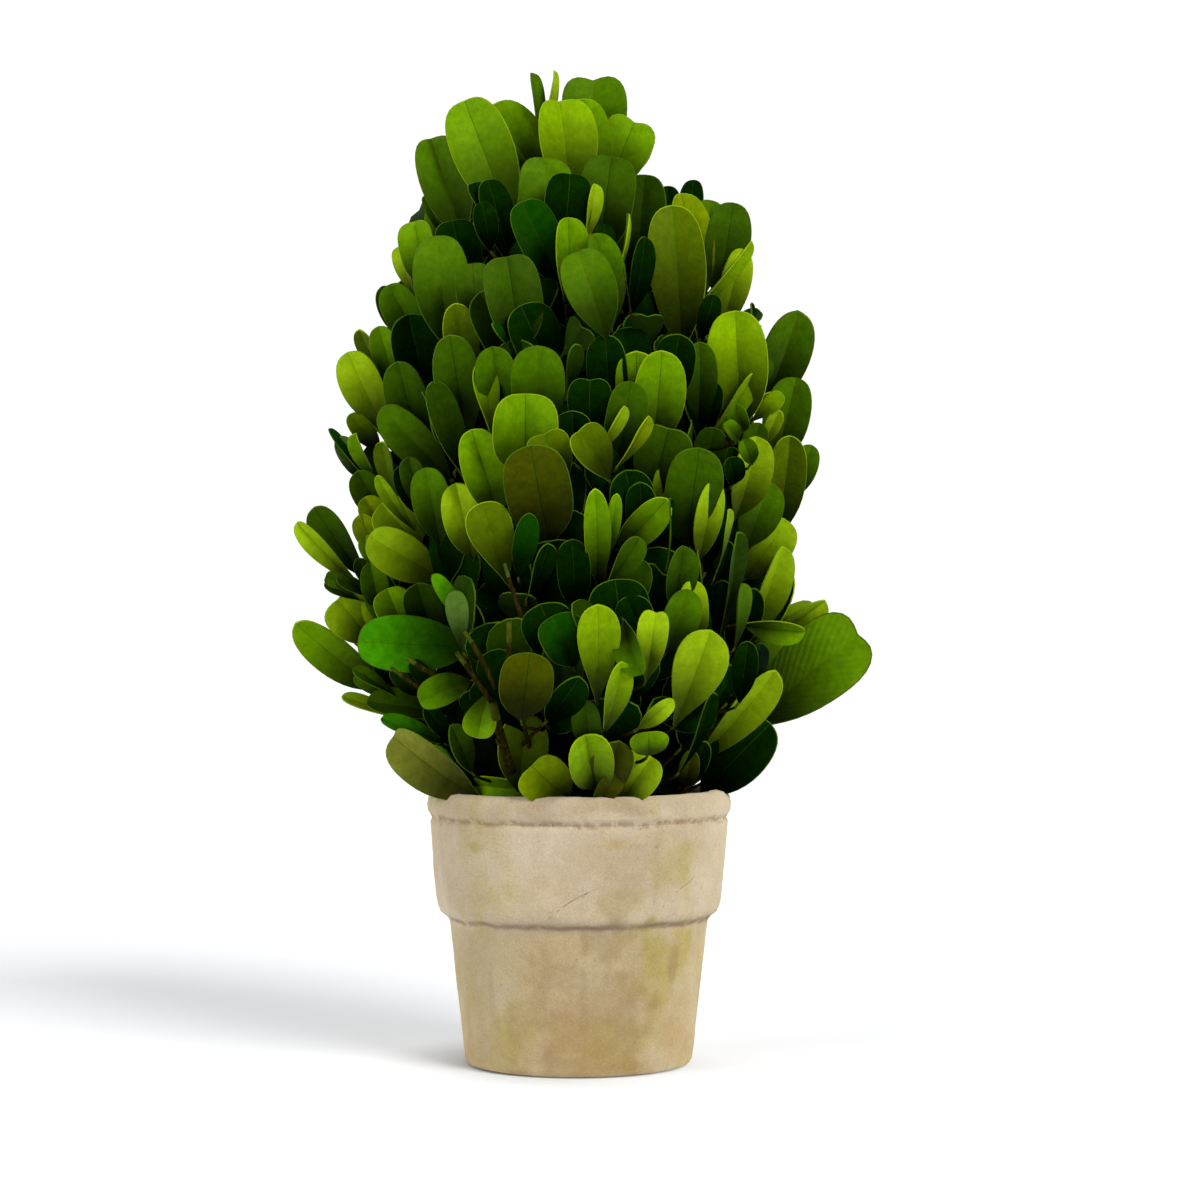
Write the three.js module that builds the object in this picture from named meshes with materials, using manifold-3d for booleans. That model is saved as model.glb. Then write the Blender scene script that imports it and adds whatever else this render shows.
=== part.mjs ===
// A boxwood cone topiary in a clay pot, of the size that stands on a table.
// Millimetres, +Z up. The origin is the centre of the pot's flat underside, and the plant's front is
// towards -Y. A short stem stands on the pot's filling and carries five tiers of foliage. Each tier is
// one closed body: a ring of core round the stem, three-sided twigs that fork out of it by a seeded
// rule, and leaves in pairs on the twigs.

import * as THREE from 'three';
import { mergeVertices } from 'three/addons/utils/BufferGeometryUtils.js';
import Module from 'manifold-3d';

const wasm = await Module();
wasm.setup();

// ---------------------------------------------------------------- sizes

const CLEARANCE = 0.3; // between two pieces that rest on each other

const POT = {
  facets: 36,
  curveSteps: 2, // in each rounded stretch of the profile
  height: 68.5,
  footRadius: 28.3,
  footRound: 1.3,
  neckRadius: 32.4, // just under the collar
  neckHeight: 36.0,
  collarFootRadius: 35.6,
  collarFootHeight: 41.5,
  collarTopRadius: 37.5,
  collarTopHeight: 61.0,
  rimRadius: 38.1,
  rimHeight: 64.0, // where the rim's bead is widest
  rimRound: 3.4,
  mouthRadius: 32.0,
  mouthRound: 1.8,
  floorThickness: 6.0,
  floorRadius: 22.6, // of the cavity, at the floor
};

const FILLING_TOP = 63.0;

// The outline that the leaf tips keep to: it flares from the rim to the brow, runs straight up to the
// shoulder and rounds in from there to the top.
const CROWN = {
  rimHeight: 69.0,
  rimGirth: 36.0,
  brow: 97.0,
  flarePower: 1.3,
  girth: 60.0,
  shoulder: 156.0,
  top: 250.0,
  topPower: 0.75,
  leanFrom: 192.0, // the outline's axis leans along X between these heights
  leanTo: 229.0,
  lean: -9.5,
  rimClearance: 1.0, // leaves pass this far over the pot's rim
  coreClearance: 1.0,
  ragged: 1.8, // tips may stand this far proud of the outline
};

// The solid heart that the shoots leave, narrower than the outline all over.
const CORE = {
  bottom: FILLING_TOP + CLEARANCE,
  waist: 104.0, // where it is widest
  top: 207.0,
  radius: 36.0,
  tuck: 0.34, // how much narrower it is at its underside, as a share
  tuckPower: 2.0,
  taperPower: 2.4,
  sides: 12,
  tipRadius: 0.4,
  ringHeight: 14.0,
};

const STEM = {
  footRadius: 7.5,
  flareHeight: 3.5, // the root flare dies away over a few times this
  radius: 4.6,
  tipRadius: 2.0,
  top: 184.0,
  sides: 9,
  rings: 8,
};

// Each tier's name, and the height on the core where it ends.
const TIERS = [
  ['foliage_skirt', 80.0],
  ['foliage_lower', 106.0],
  ['foliage_middle', 134.0],
  ['foliage_upper', 165.0],
  ['foliage_tip', CORE.top],
];

const SPRIGS = {
  count: 84,
  firstHeight: 68.0,
  lastHeight: 205.0,
  goldenAngle: Math.PI * (3 - Math.sqrt(5)),
  rimRise: 33.0, // degrees above level, of the shoots nearest the rim
  topRise: 90.0,
  risePower: 1.25,
  tipShare: 0.86, // of a leaf's length, from the outermost pair to the outline
  shortestTwig: 3.0,
  barestTwig: 2.0, // no pair sits nearer its root than this
  forkShare: 0.25, // of the sprigs that carry a second shoot
  forkAt: 0.3, // along the first shoot
  forkAngle: 38.0,
  forkAngleJitter: 8.0,
  forkTurn: 1.0, // radians from the first shoot's pairs of leaves to the second's
  forkLeafScale: 0.88,
  shortestFork: 9.0, // a shoot shorter than this has none
  leanAhead: 30.0, // shoots lean as the outline does this far above their root
  turnJitter: 0.16,
  riseJitter: 7.0,
  twigJitter: 1.5,
};

const TWIG = {
  rootRadius: 1.35,
  tipRadius: 0.95,
  sunk: 3.5, // into the core
  past: 1.0, // beyond the outermost pair of leaves
  forkRadius: 1.1, // of a forked shoot's root
  forkSunk: 0.5, // and its depth behind the first shoot's axis
};

const LEAF = {
  length: 21.5,
  lengthJitter: 3.5,
  widthShare: 0.66,
  widthJitter: 0.12,
  thickness: 0.9, // at its crest
  crestAt: 0.55, // along the blade
  recurve: 0.9, // its tip bends back
  rootStep: 0.4, // its root lies inside the twig, this far from the twig's axis
  pairSpacing: 6.6,
  pairsPerShoot: 3,
  innerShrink: 0.1, // each pair further in is smaller by this share
  spread: 27.0, // degrees between a leaf and its twig
  spreadJitter: 9.0,
  rollJitter: 0.3,
  turnOutward: 0.75, // how far a blade twists to face out of the crown
  turnJitter: 0.3,
  widestSwing: 1.9, // radians; past this it shows its under side instead
  tries: 14,
  tryLooser: 0.12, // each further try may stray this much more
  tryShrink: 0.015, // and is smaller by this
};

// A ring of short shoots that lean on the pot's rim.
const RUFF = {
  count: 14,
  height: 65.8,
  rise: 44.0,
  riseJitter: 12.0,
  turnJitter: 0.25, // as a share of the step between two shoots
  rollJitter: 0.5,
  twig: 4.5,
  leafScale: 0.84,
};

// Single leaves that break the crown's even outline, by their tips. turn is from +X towards +Y and rise
// is above level, in degrees. reach is from the pot's axis, and roll turns the blade about its length.
const STRAYS = [
  { turn: -8, reach: 72, height: 106.5, rise: 36, length: 36, width: 19, roll: 65 },
  { turn: -40, reach: 60, height: 101, rise: 42, length: 30, width: 13, roll: 50 },
  { turn: -20, reach: 50, height: 85, rise: 30, length: 22, width: 15, roll: 60 },
  { turn: 10, reach: 63, height: 117.5, rise: 30, length: 19, width: 9, roll: 30 },
  { turn: -163, reach: 49.5, height: 85, rise: 34, length: 24, width: 15, roll: -60 },
  { turn: -172, reach: 72, height: 109, rise: 38, length: 27, width: 12, roll: -60 },
  { turn: 176, reach: 71, height: 136, rise: 34, length: 20, width: 7, roll: -30 },
  { turn: -178, reach: 67.5, height: 140.5, rise: 56, length: 19, width: 6.5, roll: 0 },
  { turn: -168, reach: 64, height: 160, rise: 59, length: 16, width: 4.5, roll: 0 },
  { turn: -130, reach: 14, height: 249.8, rise: 84, length: 28, width: 4, roll: 0 },
  { turn: -30, reach: 11, height: 246.5, rise: 76, length: 24, width: 16, roll: 70 },
  { turn: -8, reach: 18.5, height: 236.5, rise: 62, length: 20, width: 14, roll: 75 },
  { turn: -168, reach: 29, height: 243, rise: 70, length: 28, width: 17, roll: -70 },
];

const SEED = 20260;
const UP = new THREE.Vector3(0, 0, 1);

// ---------------------------------------------------------------- small helpers

// A seeded random number from 0 to 1, the same on every machine.
function seededRandom(seed) {
  let state = seed >>> 0;
  return () => {
    state = (state + 0x6d2b79f5) >>> 0;
    let t = Math.imul(state ^ (state >>> 15), 1 | state);
    t = (t + Math.imul(t ^ (t >>> 7), 61 | t)) ^ t;
    return ((t ^ (t >>> 14)) >>> 0) / 4294967296;
  };
}

const either = (random) => random() * 2 - 1;
const radians = THREE.MathUtils.degToRad;

// A position-only geometry as a manifold-3d solid.
function solidFrom(geometry) {
  const bare = geometry.clone();
  for (const name of Object.keys(bare.attributes)) {
    if (name !== 'position') bare.deleteAttribute(name);
  }
  const merged = mergeVertices(bare, 1e-4);
  return new wasm.Manifold(
    new wasm.Mesh({
      numProp: 3,
      vertProperties: new Float32Array(merged.attributes.position.array),
      triVerts: new Uint32Array(merged.index.array),
    }),
  );
}

// The faces of a manifold-3d solid as a geometry.
function geometryFrom(solid) {
  const mesh = solid.getMesh();
  const geometry = new THREE.BufferGeometry();
  geometry.setAttribute('position', new THREE.BufferAttribute(mesh.vertProperties, mesh.numProp));
  geometry.setIndex(new THREE.BufferAttribute(mesh.triVerts, 1));
  geometry.computeVertexNormals();
  return geometry;
}

function geometryOf(points, faces) {
  const geometry = new THREE.BufferGeometry().setFromPoints(points);
  geometry.setIndex(faces.flat());
  return geometry;
}

// Revolves a profile of [radius, height] pairs round the Z axis.
function revolve(profile, sides) {
  const points = profile.map(([radius, height]) => new THREE.Vector2(radius, height));
  return new THREE.LatheGeometry(points, sides).rotateX(Math.PI / 2);
}

// ---------------------------------------------------------------- pot

const cavityRadius = (height) =>
  THREE.MathUtils.mapLinear(height, POT.floorThickness, POT.height, POT.floorRadius, POT.mouthRadius);

function potGeometry() {
  const p = POT;
  const path = new THREE.Path()
    .moveTo(0, 0)
    .lineTo(p.footRadius - p.footRound, 0)
    .quadraticCurveTo(p.footRadius, 0, p.footRadius, p.footRound)
    .lineTo(p.neckRadius, p.neckHeight)
    .quadraticCurveTo(p.collarFootRadius, p.neckHeight + 1.5, p.collarFootRadius, p.collarFootHeight)
    .lineTo(p.collarTopRadius, p.collarTopHeight)
    .quadraticCurveTo(p.rimRadius, p.collarTopHeight + 0.5, p.rimRadius, p.rimHeight)
    .quadraticCurveTo(p.rimRadius, p.height, p.rimRadius - p.rimRound, p.height)
    .lineTo(p.mouthRadius + p.mouthRound, p.height)
    .quadraticCurveTo(p.mouthRadius, p.height, cavityRadius(p.height - p.mouthRound), p.height - p.mouthRound)
    .lineTo(p.floorRadius, p.floorThickness)
    .lineTo(0, p.floorThickness);
  return revolve(path.getPoints(p.curveSteps).map((point) => point.toArray()), p.facets);
}

function fillingGeometry() {
  const bottom = POT.floorThickness + CLEARANCE;
  const profile = [
    [0, bottom],
    [cavityRadius(bottom) - CLEARANCE, bottom],
    [cavityRadius(FILLING_TOP) - CLEARANCE, FILLING_TOP],
    [0, FILLING_TOP],
  ];
  return revolve(profile, POT.facets);
}

// ---------------------------------------------------------------- crown's form

// How far the crown's axis has moved along X at a height.
const leanAt = (height) => CROWN.lean * THREE.MathUtils.smoothstep(height, CROWN.leanFrom, CROWN.leanTo);

function outlineAt(height) {
  const c = CROWN;
  const down = Math.max(0, (c.brow - height) / (c.brow - c.rimHeight));
  const up = THREE.MathUtils.clamp((height - c.shoulder) / (c.top - c.shoulder), 0, 1);
  return (c.girth - (c.girth - c.rimGirth) * down ** c.flarePower) * (1 - up * up) ** c.topPower;
}

function coreRadiusAt(height) {
  const down = Math.max(0, (CORE.waist - height) / (CORE.waist - CORE.bottom));
  const up = THREE.MathUtils.clamp((height - CORE.waist) / (CORE.top - CORE.waist), 0, 1);
  return CORE.radius * (1 - CORE.tuck * down ** CORE.tuckPower) * (1 - up ** CORE.taperPower);
}

const distanceFromAxis = (p) => Math.hypot(p.x - leanAt(p.z), p.y);
const insideCore = (p, margin = 0) =>
  p.z > CORE.bottom && p.z < CORE.top && distanceFromAxis(p) < coreRadiusAt(p.z) + margin;
const insideOutline = (p, margin = 0) => p.z < CROWN.top && distanceFromAxis(p) < outlineAt(p.z) + margin;

// The slope of a shoot that leaves the core at a height: it steepens towards the top.
function riseAt(height) {
  const share = (height - SPRIGS.firstHeight) / (SPRIGS.lastHeight - SPRIGS.firstHeight);
  return SPRIGS.rimRise + (SPRIGS.topRise - SPRIGS.rimRise) * share ** SPRIGS.risePower;
}

function onCore(height, turn) {
  const radius = coreRadiusAt(height);
  return new THREE.Vector3(leanAt(height) + radius * Math.cos(turn), radius * Math.sin(turn), height);
}

// Steps from a point along an axis for as long as a test holds, and returns the distance.
function distanceWhile(test, from, axis) {
  const step = 0.5;
  const p = from.clone();
  let distance = 0;
  while (test(p) && distance < CROWN.top) {
    p.addScaledVector(axis, step);
    distance += step;
  }
  return distance;
}

const directionOf = (turn, rise) =>
  new THREE.Vector3(Math.cos(turn) * Math.cos(rise), Math.sin(turn) * Math.cos(rise), Math.sin(rise));

// Moves a geometry's points sideways as the crown leans.
function leaned(geometry) {
  const position = geometry.attributes.position;
  for (let i = 0; i < position.count; i++) {
    position.setX(i, position.getX(i) + leanAt(position.getZ(i)));
  }
  return geometry;
}

// The stem, thicker by `extra` all over, so that the core's hole can be cut clear of it.
function stemGeometry(extra = 0) {
  const s = STEM;
  const foot = FILLING_TOP + CLEARANCE - extra;
  const profile = [[0, foot]];
  for (let i = 0; i <= s.rings; i++) {
    const share = (i / s.rings) ** 1.6; // the rings lie closer at the flare
    const height = foot + (s.top - foot) * share;
    const flare = (s.footRadius - s.radius) * Math.exp(-(height - foot) / s.flareHeight);
    profile.push([THREE.MathUtils.lerp(s.radius, s.tipRadius, share) + flare + extra, height]);
  }
  profile.push([0, s.top + s.tipRadius + extra]);
  return leaned(revolve(profile, s.sides));
}

// The slice of the core that carries one tier.
function coreGeometry(from, to) {
  const rings = Math.round((to - from) / CORE.ringHeight);
  const profile = [[0, from]];
  for (let i = 0; i <= rings; i++) {
    const height = THREE.MathUtils.lerp(from, to, i / rings);
    profile.push([Math.max(coreRadiusAt(height), CORE.tipRadius), height]);
  }
  profile.push([0, to]);
  return leaned(revolve(profile, CORE.sides));
}

// ---------------------------------------------------------------- shoots

// Heights that share the core's surface evenly between the sprigs.
function evenHeights() {
  const steps = 400;
  const step = (SPRIGS.lastHeight - SPRIGS.firstHeight) / steps;
  const area = [0];
  for (let i = 0; i < steps; i++) {
    const height = SPRIGS.firstHeight + i * step;
    const radius = coreRadiusAt(height);
    area.push(area[i] + radius * Math.hypot(step, coreRadiusAt(height + step) - radius));
  }
  return Array.from({ length: SPRIGS.count }, (_, k) => {
    const wanted = ((k + 0.5) / SPRIGS.count) * area[steps];
    return SPRIGS.firstHeight + area.findIndex((sum) => sum > wanted) * step;
  });
}

const tierAt = (height) => TIERS.findIndex(([, end]) => height < end || end === CORE.top);
const sliceOf = (tier) => ({ from: tier ? TIERS[tier - 1][1] + CLEARANCE : CORE.bottom, to: TIERS[tier][1] });

// Moves a root up or down until its twig lies in its own tier's slice of the core.
function settleInTier(height, rise) {
  const { from, to } = sliceOf(tierAt(height));
  const lowest = from + TWIG.sunk * Math.sin(rise) + TWIG.rootRadius + CLEARANCE;
  return THREE.MathUtils.clamp(height, lowest, to - TWIG.rootRadius - CLEARANCE);
}

// A shoot is a straight twig from `root` along `axis`, with pairs of leaves at its outer end.
function strayShoots() {
  return STRAYS.map((stray) => {
    const out = directionOf(radians(stray.turn), 0);
    const axis = directionOf(radians(stray.turn), radians(stray.rise));
    const tip = out.clone().multiplyScalar(stray.reach).setZ(stray.height);
    const base = tip.clone().addScaledVector(axis, -stray.length);
    const twig = distanceWhile((p) => !insideCore(p), base, axis.clone().negate());
    const root = base.clone().addScaledVector(axis, -twig);
    return { tier: tierAt(root.z), root, axis, out, twig, stray };
  });
}

function ruffShoots(random) {
  return Array.from({ length: RUFF.count }, (_, i) => {
    const turn = ((i + either(random) * RUFF.turnJitter) * 2 * Math.PI) / RUFF.count;
    const rise = radians(RUFF.rise + either(random) * RUFF.riseJitter);
    return {
      tier: 0,
      root: onCore(settleInTier(RUFF.height, rise), turn),
      axis: directionOf(turn, rise),
      out: directionOf(turn, 0),
      twig: RUFF.twig,
      roll: Math.PI / 2 + either(random) * RUFF.rollJitter,
      scale: RUFF.leafScale,
    };
  });
}

function evenShoots(random) {
  const shoots = [];
  evenHeights().forEach((height, i) => {
    const turn = i * SPRIGS.goldenAngle + either(random) * SPRIGS.turnJitter;
    const rise = radians(riseAt(height) + either(random) * SPRIGS.riseJitter);
    const out = directionOf(turn, 0);
    const axis = directionOf(turn + either(random) * SPRIGS.turnJitter, rise);
    axis.x += (leanAt(height + SPRIGS.leanAhead) - leanAt(height)) / SPRIGS.leanAhead;
    axis.normalize();
    const root = onCore(settleInTier(height, rise), turn);
    const reach = distanceWhile(insideOutline, root, axis);
    const outermost = reach - LEAF.length * SPRIGS.tipShare + either(random) * SPRIGS.twigJitter;
    const twig = Math.max(SPRIGS.shortestTwig, outermost);
    const roll = random() * Math.PI;
    const tier = tierAt(height);
    shoots.push({ tier, root, axis, out, twig, roll, scale: 1 });
    if (random() < SPRIGS.forkShare && twig > SPRIGS.shortestFork) {
      const side = new THREE.Vector3().crossVectors(out, UP).multiplyScalar(random() < 0.5 ? 1 : -1);
      const hinge = side.cross(axis).normalize();
      const angle = radians(SPRIGS.forkAngle + either(random) * SPRIGS.forkAngleJitter);
      const fork = {
        tier,
        root: root.clone().addScaledVector(axis, twig * SPRIGS.forkAt),
        axis: axis.clone().applyAxisAngle(hinge, -angle),
        out,
        roll: roll + SPRIGS.forkTurn,
        scale: SPRIGS.forkLeafScale,
        sunk: TWIG.forkSunk,
        rootRadius: TWIG.forkRadius,
      };
      fork.twig = distanceWhile(insideOutline, fork.root, fork.axis) - LEAF.length * SPRIGS.tipShare;
      if (fork.twig > SPRIGS.shortestTwig) shoots.push(fork);
    }
  });
  return shoots;
}

// ---------------------------------------------------------------- leaves

// A leaf's outline as (along, across), from its root round its blunt tip. The corners of its solid are
// these and then the crest of its upper side, which stands above a flat underside.
const OUTLINE = [
  [0, 0],
  [0.6, 1],
  [0.97, 0.48],
  [0.97, -0.48],
  [0.6, -1],
];
const CREST = OUTLINE.length; // the crest's number among the corners
const UPPER_FACES = OUTLINE.map((_, i) => [CREST, i, (i + 1) % CREST]);
const UNDER_FACES = [
  [1, 0, 4],
  [1, 4, 3],
  [1, 3, 2],
];
const LEAF_FACES = [...UPPER_FACES, ...UNDER_FACES];
const LEAF_LINES = [...UPPER_FACES.flatMap(([c, p, q]) => [[c, p], [p, q]]), [1, 4], [1, 3]];

function leafPoints(leaf) {
  const across = new THREE.Vector3().crossVectors(leaf.direction, leaf.normal);
  const at = (along, side, up) =>
    leaf.root
      .clone()
      .addScaledVector(leaf.direction, along * leaf.length)
      .addScaledVector(across, (side * leaf.width) / 2)
      .addScaledVector(leaf.normal, up);
  const rim = OUTLINE.map(([along, side]) => at(along, side, -LEAF.recurve * along ** 3));
  rim[0] = at(LEAF.rootStep / leaf.length, 0, 0);
  return [...rim, at(LEAF.crestAt, 0, LEAF.thickness)];
}

const leafGeometry = (leaf) => geometryOf(leafPoints(leaf), LEAF_FACES);

// The corners of a shoot's twig: a triangle at its root, sunk into what carries it, and one at its tip.
function twigPoints(shoot) {
  const from = shoot.root.clone().addScaledVector(shoot.axis, -(shoot.sunk ?? TWIG.sunk));
  const to = shoot.root.clone().addScaledVector(shoot.axis, shoot.twig + TWIG.past);
  const u = new THREE.Vector3().crossVectors(shoot.axis, shoot.out).normalize();
  const v = new THREE.Vector3().crossVectors(shoot.axis, u);
  const corner = (centre, radius, i) =>
    centre
      .clone()
      .addScaledVector(u, radius * Math.cos((i * 2 * Math.PI) / 3))
      .addScaledVector(v, radius * Math.sin((i * 2 * Math.PI) / 3));
  return [
    ...[0, 1, 2].map((i) => corner(from, shoot.rootRadius ?? TWIG.rootRadius, i)),
    ...[0, 1, 2].map((i) => corner(to, TWIG.tipRadius, i)),
  ];
}

function twigGeometry(shoot) {
  const sides = [0, 1, 2].flatMap((i) => {
    const next = (i + 1) % 3;
    return [
      [i, next, next + 3],
      [i, next + 3, i + 3],
    ];
  });
  return geometryOf(twigPoints(shoot), [...sides, [0, 2, 1], [3, 4, 5]]);
}

// The single leaf of a stray, which goes on along its twig.
function strayLeaf(shoot) {
  const { stray, axis, out, tier } = shoot;
  const sideways = new THREE.Vector3().crossVectors(axis, out);
  const upper = sideways.cross(axis).normalize();
  return {
    tier,
    root: shoot.root.clone().addScaledVector(axis, shoot.twig),
    direction: axis.clone(),
    normal: upper.applyAxisAngle(axis, radians(stray.roll)),
    length: stray.length,
    width: stray.width,
  };
}

// One leaf of a pair. `place` counts the pairs back from the twig's tip, and each further attempt
// strays more from the pair's even spread.
function growLeaf(shoot, place, half, attempt, random) {
  const { axis, out } = shoot;
  const loose = 1 + attempt * LEAF.tryLooser;
  const outward = out.clone().addScaledVector(axis, -out.dot(axis)).normalize();
  const sideways = new THREE.Vector3().crossVectors(axis, outward);
  const roll = shoot.roll + (place / 2 + half) * Math.PI + either(random) * LEAF.rollJitter * loose;
  const lateral = outward.multiplyScalar(Math.cos(roll)).addScaledVector(sideways, Math.sin(roll));
  const spread = radians(LEAF.spread + either(random) * LEAF.spreadJitter * loose);
  const direction = axis.clone().multiplyScalar(Math.cos(spread)).addScaledVector(lateral, Math.sin(spread));
  const inner = axis.clone().multiplyScalar(Math.sin(spread)).addScaledVector(lateral, -Math.cos(spread));
  // The stalk twists, so that one face of the blade looks out of the crown.
  const facing = out.clone().addScaledVector(direction, -out.dot(direction)).normalize();
  const swing = Math.atan2(new THREE.Vector3().crossVectors(inner, facing).dot(direction), inner.dot(facing));
  const nearest = Math.abs(swing) < LEAF.widestSwing ? swing : swing - Math.sign(swing) * Math.PI;
  const twist = nearest * Math.min(1, LEAF.turnOutward + either(random) * LEAF.turnJitter * loose);
  const size = shoot.scale - LEAF.innerShrink * place - LEAF.tryShrink * attempt;
  const length = (LEAF.length + either(random) * LEAF.lengthJitter) * size;
  return {
    tier: shoot.tier,
    root: shoot.root.clone().addScaledVector(axis, shoot.twig - place * LEAF.pairSpacing),
    direction,
    normal: inner.applyAxisAngle(direction, twist),
    length,
    width: length * (LEAF.widthShare + either(random) * LEAF.widthJitter),
  };
}

// ---------------------------------------------------------------- keeping leaves apart

const BLADE_REACH = 0.62; // from a blade's crest to its furthest corner, as a share of its length
const ray = new THREE.Ray();
const hit = new THREE.Vector3();

// True where a line from one point to another passes through a triangle.
function pierces([from, to], [p, q, r]) {
  const length = from.distanceTo(to);
  ray.origin.copy(from);
  ray.direction.subVectors(to, from).divideScalar(length);
  return ray.intersectTriangle(p, q, r, false, hit) !== null && hit.distanceTo(from) <= length;
}

const anyPierces = (lines, faces) => lines.some((line) => faces.some((face) => pierces(line, face)));

// What the crossing test needs of a leaf: its corners, its edges and its faces.
function bladeOf(leaf) {
  const points = leafPoints(leaf);
  const lines = LEAF_LINES.map(([i, j]) => [points[i], points[j]]);
  return {
    centre: points[CREST],
    outer: [...points.slice(1), ...lines.slice(2).map(([p, q]) => p.clone().lerp(q, 0.5))],
    lines,
    faces: LEAF_FACES.map(([i, j, k]) => [points[i], points[j], points[k]]),
  };
}

// A leaf keeps over the pot's rim and outside the core, and unless it is a stray, inside the outline.
function keepsToCrown(blade, stray) {
  const floor = POT.height + CROWN.rimClearance;
  return blade.outer.every(
    (p) => p.z > floor && !insideCore(p, CROWN.coreClearance) && (stray || insideOutline(p, CROWN.ragged)),
  );
}

// True where a leaf passes through no other leaf and no twig.
function passesClear(leaf, blade, grown, twigs, shoot) {
  const nearby = grown.filter((other) => {
    const reach = (leaf.length + other.leaf.length) * BLADE_REACH;
    return other.blade.centre.distanceTo(blade.centre) < reach;
  });
  return (
    nearby.every((o) => !anyPierces(blade.lines, o.blade.faces) && !anyPierces(o.blade.lines, blade.faces)) &&
    twigs.every((twig) => twig.shoot === shoot || !anyPierces(twig.lines, blade.faces))
  );
}

// Grows the leaves of every shoot, the outermost pairs first. A leaf that would cross others is tried
// again at another angle, and left out if it never comes clear.
function growLeaves(shoots, random) {
  const twigs = shoots.map((shoot) => {
    const points = twigPoints(shoot);
    return { shoot, lines: [0, 1, 2].map((i) => [points[i], points[i + 3]]) };
  });
  const grown = [];
  const tryLeaf = (shoot, leaf) => {
    const blade = bladeOf(leaf);
    const fits = keepsToCrown(blade, Boolean(shoot.stray)) && passesClear(leaf, blade, grown, twigs, shoot);
    if (fits) grown.push({ leaf, blade });
    return fits;
  };
  for (const shoot of shoots.filter((s) => s.stray)) tryLeaf(shoot, strayLeaf(shoot));
  for (let place = 0; place < LEAF.pairsPerShoot; place++) {
    for (const shoot of shoots.filter((s) => !s.stray)) {
      if (shoot.twig - place * LEAF.pairSpacing < SPRIGS.barestTwig) continue;
      for (const half of [0, 1]) {
        for (let attempt = 0; attempt < LEAF.tries; attempt++) {
          if (tryLeaf(shoot, growLeaf(shoot, place, half, attempt, random))) break;
        }
      }
    }
  }
  return grown;
}

// ---------------------------------------------------------------- tiers of foliage

// Fuses a tier's core, twigs and leaves into one body. Keeping the largest shell drops loose scraps
// and fills sealed hollows.
function foliageSolid(tier, shoots, grown, stemHole) {
  const { from, to } = sliceOf(tier);
  const core = solidFrom(coreGeometry(from, to)).subtract(stemHole);
  const pieces = [core];
  for (const shoot of shoots.filter((s) => s.tier === tier)) pieces.push(solidFrom(twigGeometry(shoot)));
  for (const { leaf } of grown.filter((g) => g.leaf.tier === tier)) {
    pieces.push(solidFrom(leafGeometry(leaf)));
  }
  const shells = wasm.Manifold.union(pieces).decompose();
  return shells.reduce((largest, shell) => (shell.volume() > largest.volume() ? shell : largest));
}

// ---------------------------------------------------------------- the whole plant

const MATERIALS = {
  clay: new THREE.MeshStandardMaterial({ color: '#c4b08e', roughness: 0.92, metalness: 0 }),
  filling: new THREE.MeshStandardMaterial({ color: '#5a4a3a', roughness: 1, metalness: 0 }),
  bark: new THREE.MeshStandardMaterial({ color: '#5d4a33', roughness: 0.9, metalness: 0 }),
  foliage: new THREE.MeshStandardMaterial({ color: '#4f7a12', roughness: 0.5, metalness: 0 }),
};

function named(name, geometry, material) {
  const mesh = new THREE.Mesh(geometry, material);
  mesh.name = name;
  return mesh;
}

function buildTopiary() {
  const random = seededRandom(SEED);
  const shoots = [...strayShoots(), ...ruffShoots(random), ...evenShoots(random)];
  const grown = growLeaves(shoots, random);
  const stemHole = solidFrom(stemGeometry(CLEARANCE));
  const topiary = new THREE.Group();
  topiary.add(named('clay_pot', potGeometry(), MATERIALS.clay));
  topiary.add(named('pot_filling', fillingGeometry(), MATERIALS.filling));
  topiary.add(named('stem', stemGeometry(), MATERIALS.bark));
  TIERS.forEach(([name], tier) => {
    topiary.add(named(name, geometryFrom(foliageSolid(tier, shoots, grown, stemHole)), MATERIALS.foliage));
  });
  return topiary;
}

export default buildTopiary();
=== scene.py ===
# A boxwood cone topiary in an aged clay pot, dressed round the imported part.
# Metres in the objects; the plant's own sizes are given in millimetres and turned to metres by MM.

import math

import bpy
import numpy as np
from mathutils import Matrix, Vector


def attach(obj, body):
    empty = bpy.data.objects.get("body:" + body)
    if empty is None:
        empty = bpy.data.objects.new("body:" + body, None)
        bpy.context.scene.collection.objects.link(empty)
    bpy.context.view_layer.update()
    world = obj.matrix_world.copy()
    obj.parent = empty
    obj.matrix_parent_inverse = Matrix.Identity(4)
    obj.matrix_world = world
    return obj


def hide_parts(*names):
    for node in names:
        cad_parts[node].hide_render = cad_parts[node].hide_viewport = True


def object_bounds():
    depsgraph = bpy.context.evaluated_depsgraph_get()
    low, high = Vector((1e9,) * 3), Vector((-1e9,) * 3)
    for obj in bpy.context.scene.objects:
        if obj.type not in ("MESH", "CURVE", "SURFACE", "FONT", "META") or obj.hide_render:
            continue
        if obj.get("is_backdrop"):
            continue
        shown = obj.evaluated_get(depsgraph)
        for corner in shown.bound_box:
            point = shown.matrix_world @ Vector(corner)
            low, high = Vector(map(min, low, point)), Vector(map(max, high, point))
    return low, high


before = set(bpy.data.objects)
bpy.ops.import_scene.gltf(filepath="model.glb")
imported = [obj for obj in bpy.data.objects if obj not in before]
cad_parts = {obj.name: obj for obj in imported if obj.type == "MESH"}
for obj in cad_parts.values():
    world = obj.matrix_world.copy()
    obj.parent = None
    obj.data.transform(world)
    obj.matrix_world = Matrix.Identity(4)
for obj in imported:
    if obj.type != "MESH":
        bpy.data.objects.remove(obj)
cad_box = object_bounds()

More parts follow.
